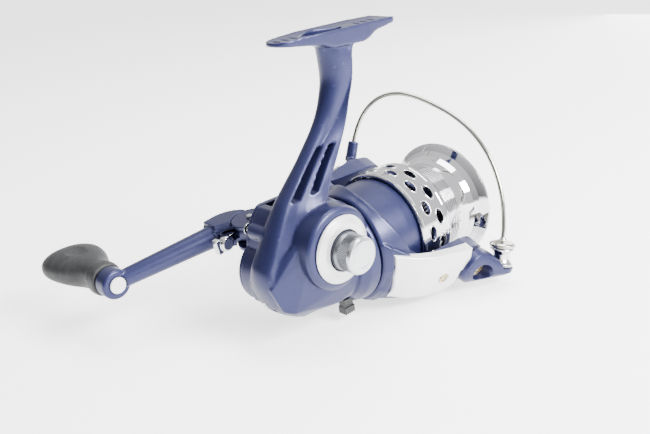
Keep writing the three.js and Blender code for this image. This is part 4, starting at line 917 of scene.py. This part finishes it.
def tube(path, radius, n=24):
    path = [A(*p) for p in path]
    t = [unit(path[min(i + 1, len(path) - 1)] - path[max(i - 1, 0)]) for i in range(len(path))]
    x = unit(np.cross(t[0], [0.2, 0.3, 1.0]))
    v, f = [], []
    for i, p in enumerate(path):
        x = unit(x - t[i] * float(x @ t[i]))
        y = np.cross(t[i], x)
        rr = radius(i / (len(path) - 1)) if callable(radius) else radius
        for j in range(n):
            s = 2 * math.pi * j / n
            v.append(p + x * rr * math.cos(s) + y * rr * math.sin(s))
    for i in range(len(path) - 1):
        for j in range(n):
            k = (j + 1) % n
            f.append((i * n + j, i * n + k, (i + 1) * n + k, (i + 1) * n + j))
    f.append(tuple(range(n))[::-1])
    f.append(tuple(range((len(path) - 1) * n, len(path) * n)))
    return mesh(v, f)


raw = [bail_point(math.pi * (0.03 + 0.94 * i / 400)) for i in range(401)]
W0, W1 = raw[0], raw[-1]
RC = A(78.0, -41.0, -16.2)
RAX = unit(W0 - RC)
roll = lambda s: RC + RAX * s
path = [roll(5.0), roll(5.6)] + raw[2:]
wire = merge(tube(path, WR, 28),
             rod_ab(RC, roll(1), [[4.3, 0], [4.3, 5.5], [4.8, 5.9], [5.8, 5.9], [6.5, 5.2], [7.0, 3.4], [7.6, 1.7], [8.6, 1.15], [8.6, 0]], rr=0.25),
             rod_ab(RC, roll(1), [[-6.4, 0], [-6.4, 1.5], [4.6, 1.5], [4.6, 0]]))
piece("bail_loop", wire, M["wire"], "bail", ["bail_wire"], sharp=60)
piece("roller", rod_ab(RC, roll(1), [[-4.3, 1.58], [-4.3, 5.2], [-3.9, 5.4], [-3.2, 5.3], [-2.2, 4.4], [-1.0, 3.8], [1.2, 3.8], [2.2, 4.4], [3.0, 5.2], [3.6, 5.5], [4.0, 5.3], [4.0, 1.58], [-4.3, 1.58]], 128, rr=0.25), M["chrome"], "roller", ["line_roller"])

pts = []
for i in range(48):
    t = 2 * math.pi * i / 48
    pts += [apply(arm_frame(A_NEAR), A(PIV + 8.8 * math.cos(t), 37.4, 8.8 * math.sin(t))[None])[0],
            apply(arm_frame(A_NEAR), A(PIV + 8.5 * math.cos(t), 41.2, 8.5 * math.sin(t))[None])[0],
            apply(arm_frame(A_NEAR), A(PIV + 7.2 * math.cos(t), 42.4, 7.2 * math.sin(t))[None])[0]]
u1 = unit(A(1, 0, 0) - RAX * RAX[0])
u2 = np.cross(RAX, u1)
for i in range(36):
    t = 2 * math.pi * i / 36
    pts += [roll(-4.6) + u1 * 5.9 * math.cos(t) + u2 * 5.9 * math.sin(t), roll(-7.0) + u1 * 5.3 * math.cos(t) + u2 * 5.3 * math.sin(t),
            roll(-8.3) + u1 * 3.2 * math.cos(t) + u2 * 3.2 * math.sin(t)]
carrier = cut(hull(pts), rod_ab(RC, roll(1), [[-4.7, 0], [-4.7, 6.3], [14, 6.3], [14, 0]]), a_box(A_NEAR, 40, 90, 20, 37.2, -30, 30))
carrier = cut(carrier, a_cyl(A_NEAR, PIV, 0, 36, 44, 1.7), a_cyl(A_NEAR, PIV, 0, 41.2, 50, 4.6))
piece("bail_carrier", cast(carrier, 0.25, 5), M["blue_paint"], "bail", ["bail_arm"])

W1d = unit(raw[-12] - W1)
pts = []
for i in range(48):
    t = 2 * math.pi * i / 48
    pts += [apply(arm_frame(A_FAR), A(PIV + 6.6 * math.cos(t), 37.0, 6.6 * math.sin(t))[None])[0],
            apply(arm_frame(A_FAR), A(PIV + 6.0 * math.cos(t), 39.8, 6.0 * math.sin(t))[None])[0],
            apply(arm_frame(A_FAR), A(PIV + 5.2 * math.cos(t), 40.6, 5.2 * math.sin(t))[None])[0]]
q_ = W1 - W1d * 3
u1 = unit(A(1, 0, 0) - W1d * W1d[0])
u2 = np.cross(W1d, u1)
for i in range(24):
    t = 2 * math.pi * i / 24
    pts.append(q_ + u1 * 2.9 * math.cos(t) + u2 * 2.9 * math.sin(t))
holder = cut(hull(pts), a_box(A_FAR, 40, 90, 20, 37.2, -30, 30))
holder = join(holder, rod_ab(W1, W1 + W1d, [[-4, 0], [-4, 2.75], [4.4, 2.65], [5.0, 2.3], [5.0, 0]]))
holder = cut(holder, rod_ab(W1, W1 + W1d, [[-0.4, 0], [-0.4, 1.3], [9, 1.3], [9, 0]]), a_cyl(A_FAR, PIV, 0, 36, 44, 1.7), a_cyl(A_FAR, PIV, 0, 39.0, 46, 3.3))
piece("wire_holder", cast(holder, 0.22, 4), M["blue_paint"], "bail", ["bail_holder"])

# ------------------------------------------------------------------ spool
prof = [[59.4, 1.84], [59.4, 6.4], [68.6, 6.4], [68.6, 19.4], [66.2, 19.8], [63.2, 24.0], [61.2, 25.3], [41.2, 25.5], [41.2, 26.4], [41.6, 26.85], [42.6, 26.9], [42.9, 26.8],
        [57.6, 26.8], [58.0, 26.95], [59.4, 26.9], [60.8, 26.2], [62.2, 24.9], [63.0, 23.8]]
for i in range(7):
    x = 63.4 + 1.45 * i
    r = 23.4 - 0.16 * i
    prof += [[x, r], [x + 0.5, r + 0.05], [x + 0.75, r - 0.55], [x + 1.2, r - 0.55]]
prof += [[73.8, 22.0], [76.4, 21.9], [79.6, 22.5], [82.2, 23.8], [84.4, 25.7], [86.0, 27.7], [86.8, 28.5], [87.5, 28.65], [88.3, 28.3], [88.6, 27.4], [88.0, 26.0], [86.4, 23.6], [85.2, 20.6], [84.4, 17.4], [84.0, 16.5], [76.1, 16.5], [76.1, 1.84], [59.4, 1.84]]
spool = lathe_x(prof, 224, r=0.12, arc=3)
rims = []
for row in range(2):
    for i in range(14):
        t = 2 * math.pi * (i + 0.5 * row) / 14 + 0.13
        x = 54.0 if row else 47.8
        c_ = A(x, 0, 0)
        # same turn as the CAD holes: a cylinder along Y turned about X
        ca, sa = math.cos(t + math.pi / 2), math.sin(t + math.pi / 2)
        ey, ez = A(0, ca, sa), A(0, -sa, ca)
        m_ = frame_of(c_ + ey * 26, A(1, 0, 0), ez, ey)
        poly = [(2.2 * math.cos(s), 3.5 * math.sin(s)) for s in np.linspace(0, 2 * math.pi, 40, endpoint=False)]
        spool = cut(spool, prism(poly, -3, 3, m_))
        loop = []
        for s in np.linspace(0, 2 * math.pi, 49):
            px, pw = 2.32 * math.cos(s), 3.62 * math.sin(s)
            loop.append(A(x + px, 0, 0) + ey * math.sqrt(26.72 ** 2 - pw * pw) + ez * pw)
        rims.append(tube(loop, 0.32, 10))
piece("spool_body", merge(spool, *rims), M["chrome"], "spool", ["spool"], sharp=38)

# ------------------------------------------------------------------ front drag knob and shaft
def scallop(a, r, t):
    if 84.6 < a < 93.0 and r > 10:
        k = max(0.0, math.cos(8 * t)) ** 3
        return r - 1.5 * k * min(1.0, (a - 84.6) / 1.4)
    return r


dk = [[82.6, 0], [82.6, 11.8], [84.4, 11.8], [84.5, 14.2], [84.9, 14.6]] + [[85.2 + 0.5 * i, 14.55 - 0.06 * i] for i in range(14)] + [[92.3, 13.4], [93.0, 12.6], [93.4, 11.6], [93.5, 9.0], [93.1, 8.6], [93.1, 5.0], [93.8, 4.6], [93.8, 0]]
piece("drag_dial", lathe_x(dk, 256, shape=scallop, r=0.0), M["blue_plastic"], "drag_knob", ["drag_knob"], sharp=40)
piece("drag_ring", lathe_x([[80.9, 12.6], [80.9, 16.0], [81.8, 16.0], [81.8, 12.6], [80.9, 12.6]], 128, r=0.2), M["steel"], "main_shaft", ["drag_retainer"])

# ------------------------------------------------------------------ anti-reverse lever
lever = join(rod_x(7.0, 12.6, 2.2, 48, -6.1, -18.4), box(7.2, 12.4, -9.0, -5.6, -23.0, -18.4), box(7.0, 12.6, -9.8, -5.0, -25.4, -22.0))
for x in (7.9, 9.2, 10.5, 11.8):
    lever = cut(lever, box(x - 0.3, x + 0.3, -11, -3, -26.0, -24.9))
for y in (-9.8, -5.0):
    for z in (-24.6, -23.5, -22.6):
        lever = cut(lever, box(6, 14, y - 0.25, y + 0.25, z - 0.22, z + 0.22))
piece("reverse_lever", cast(lever, 0.16, 2), M["black_plastic"], "lever", ["anti_reverse_lever"])

# ------------------------------------------------------------------ end
for o in (_a, _b):
    bpy.data.objects.remove(o)
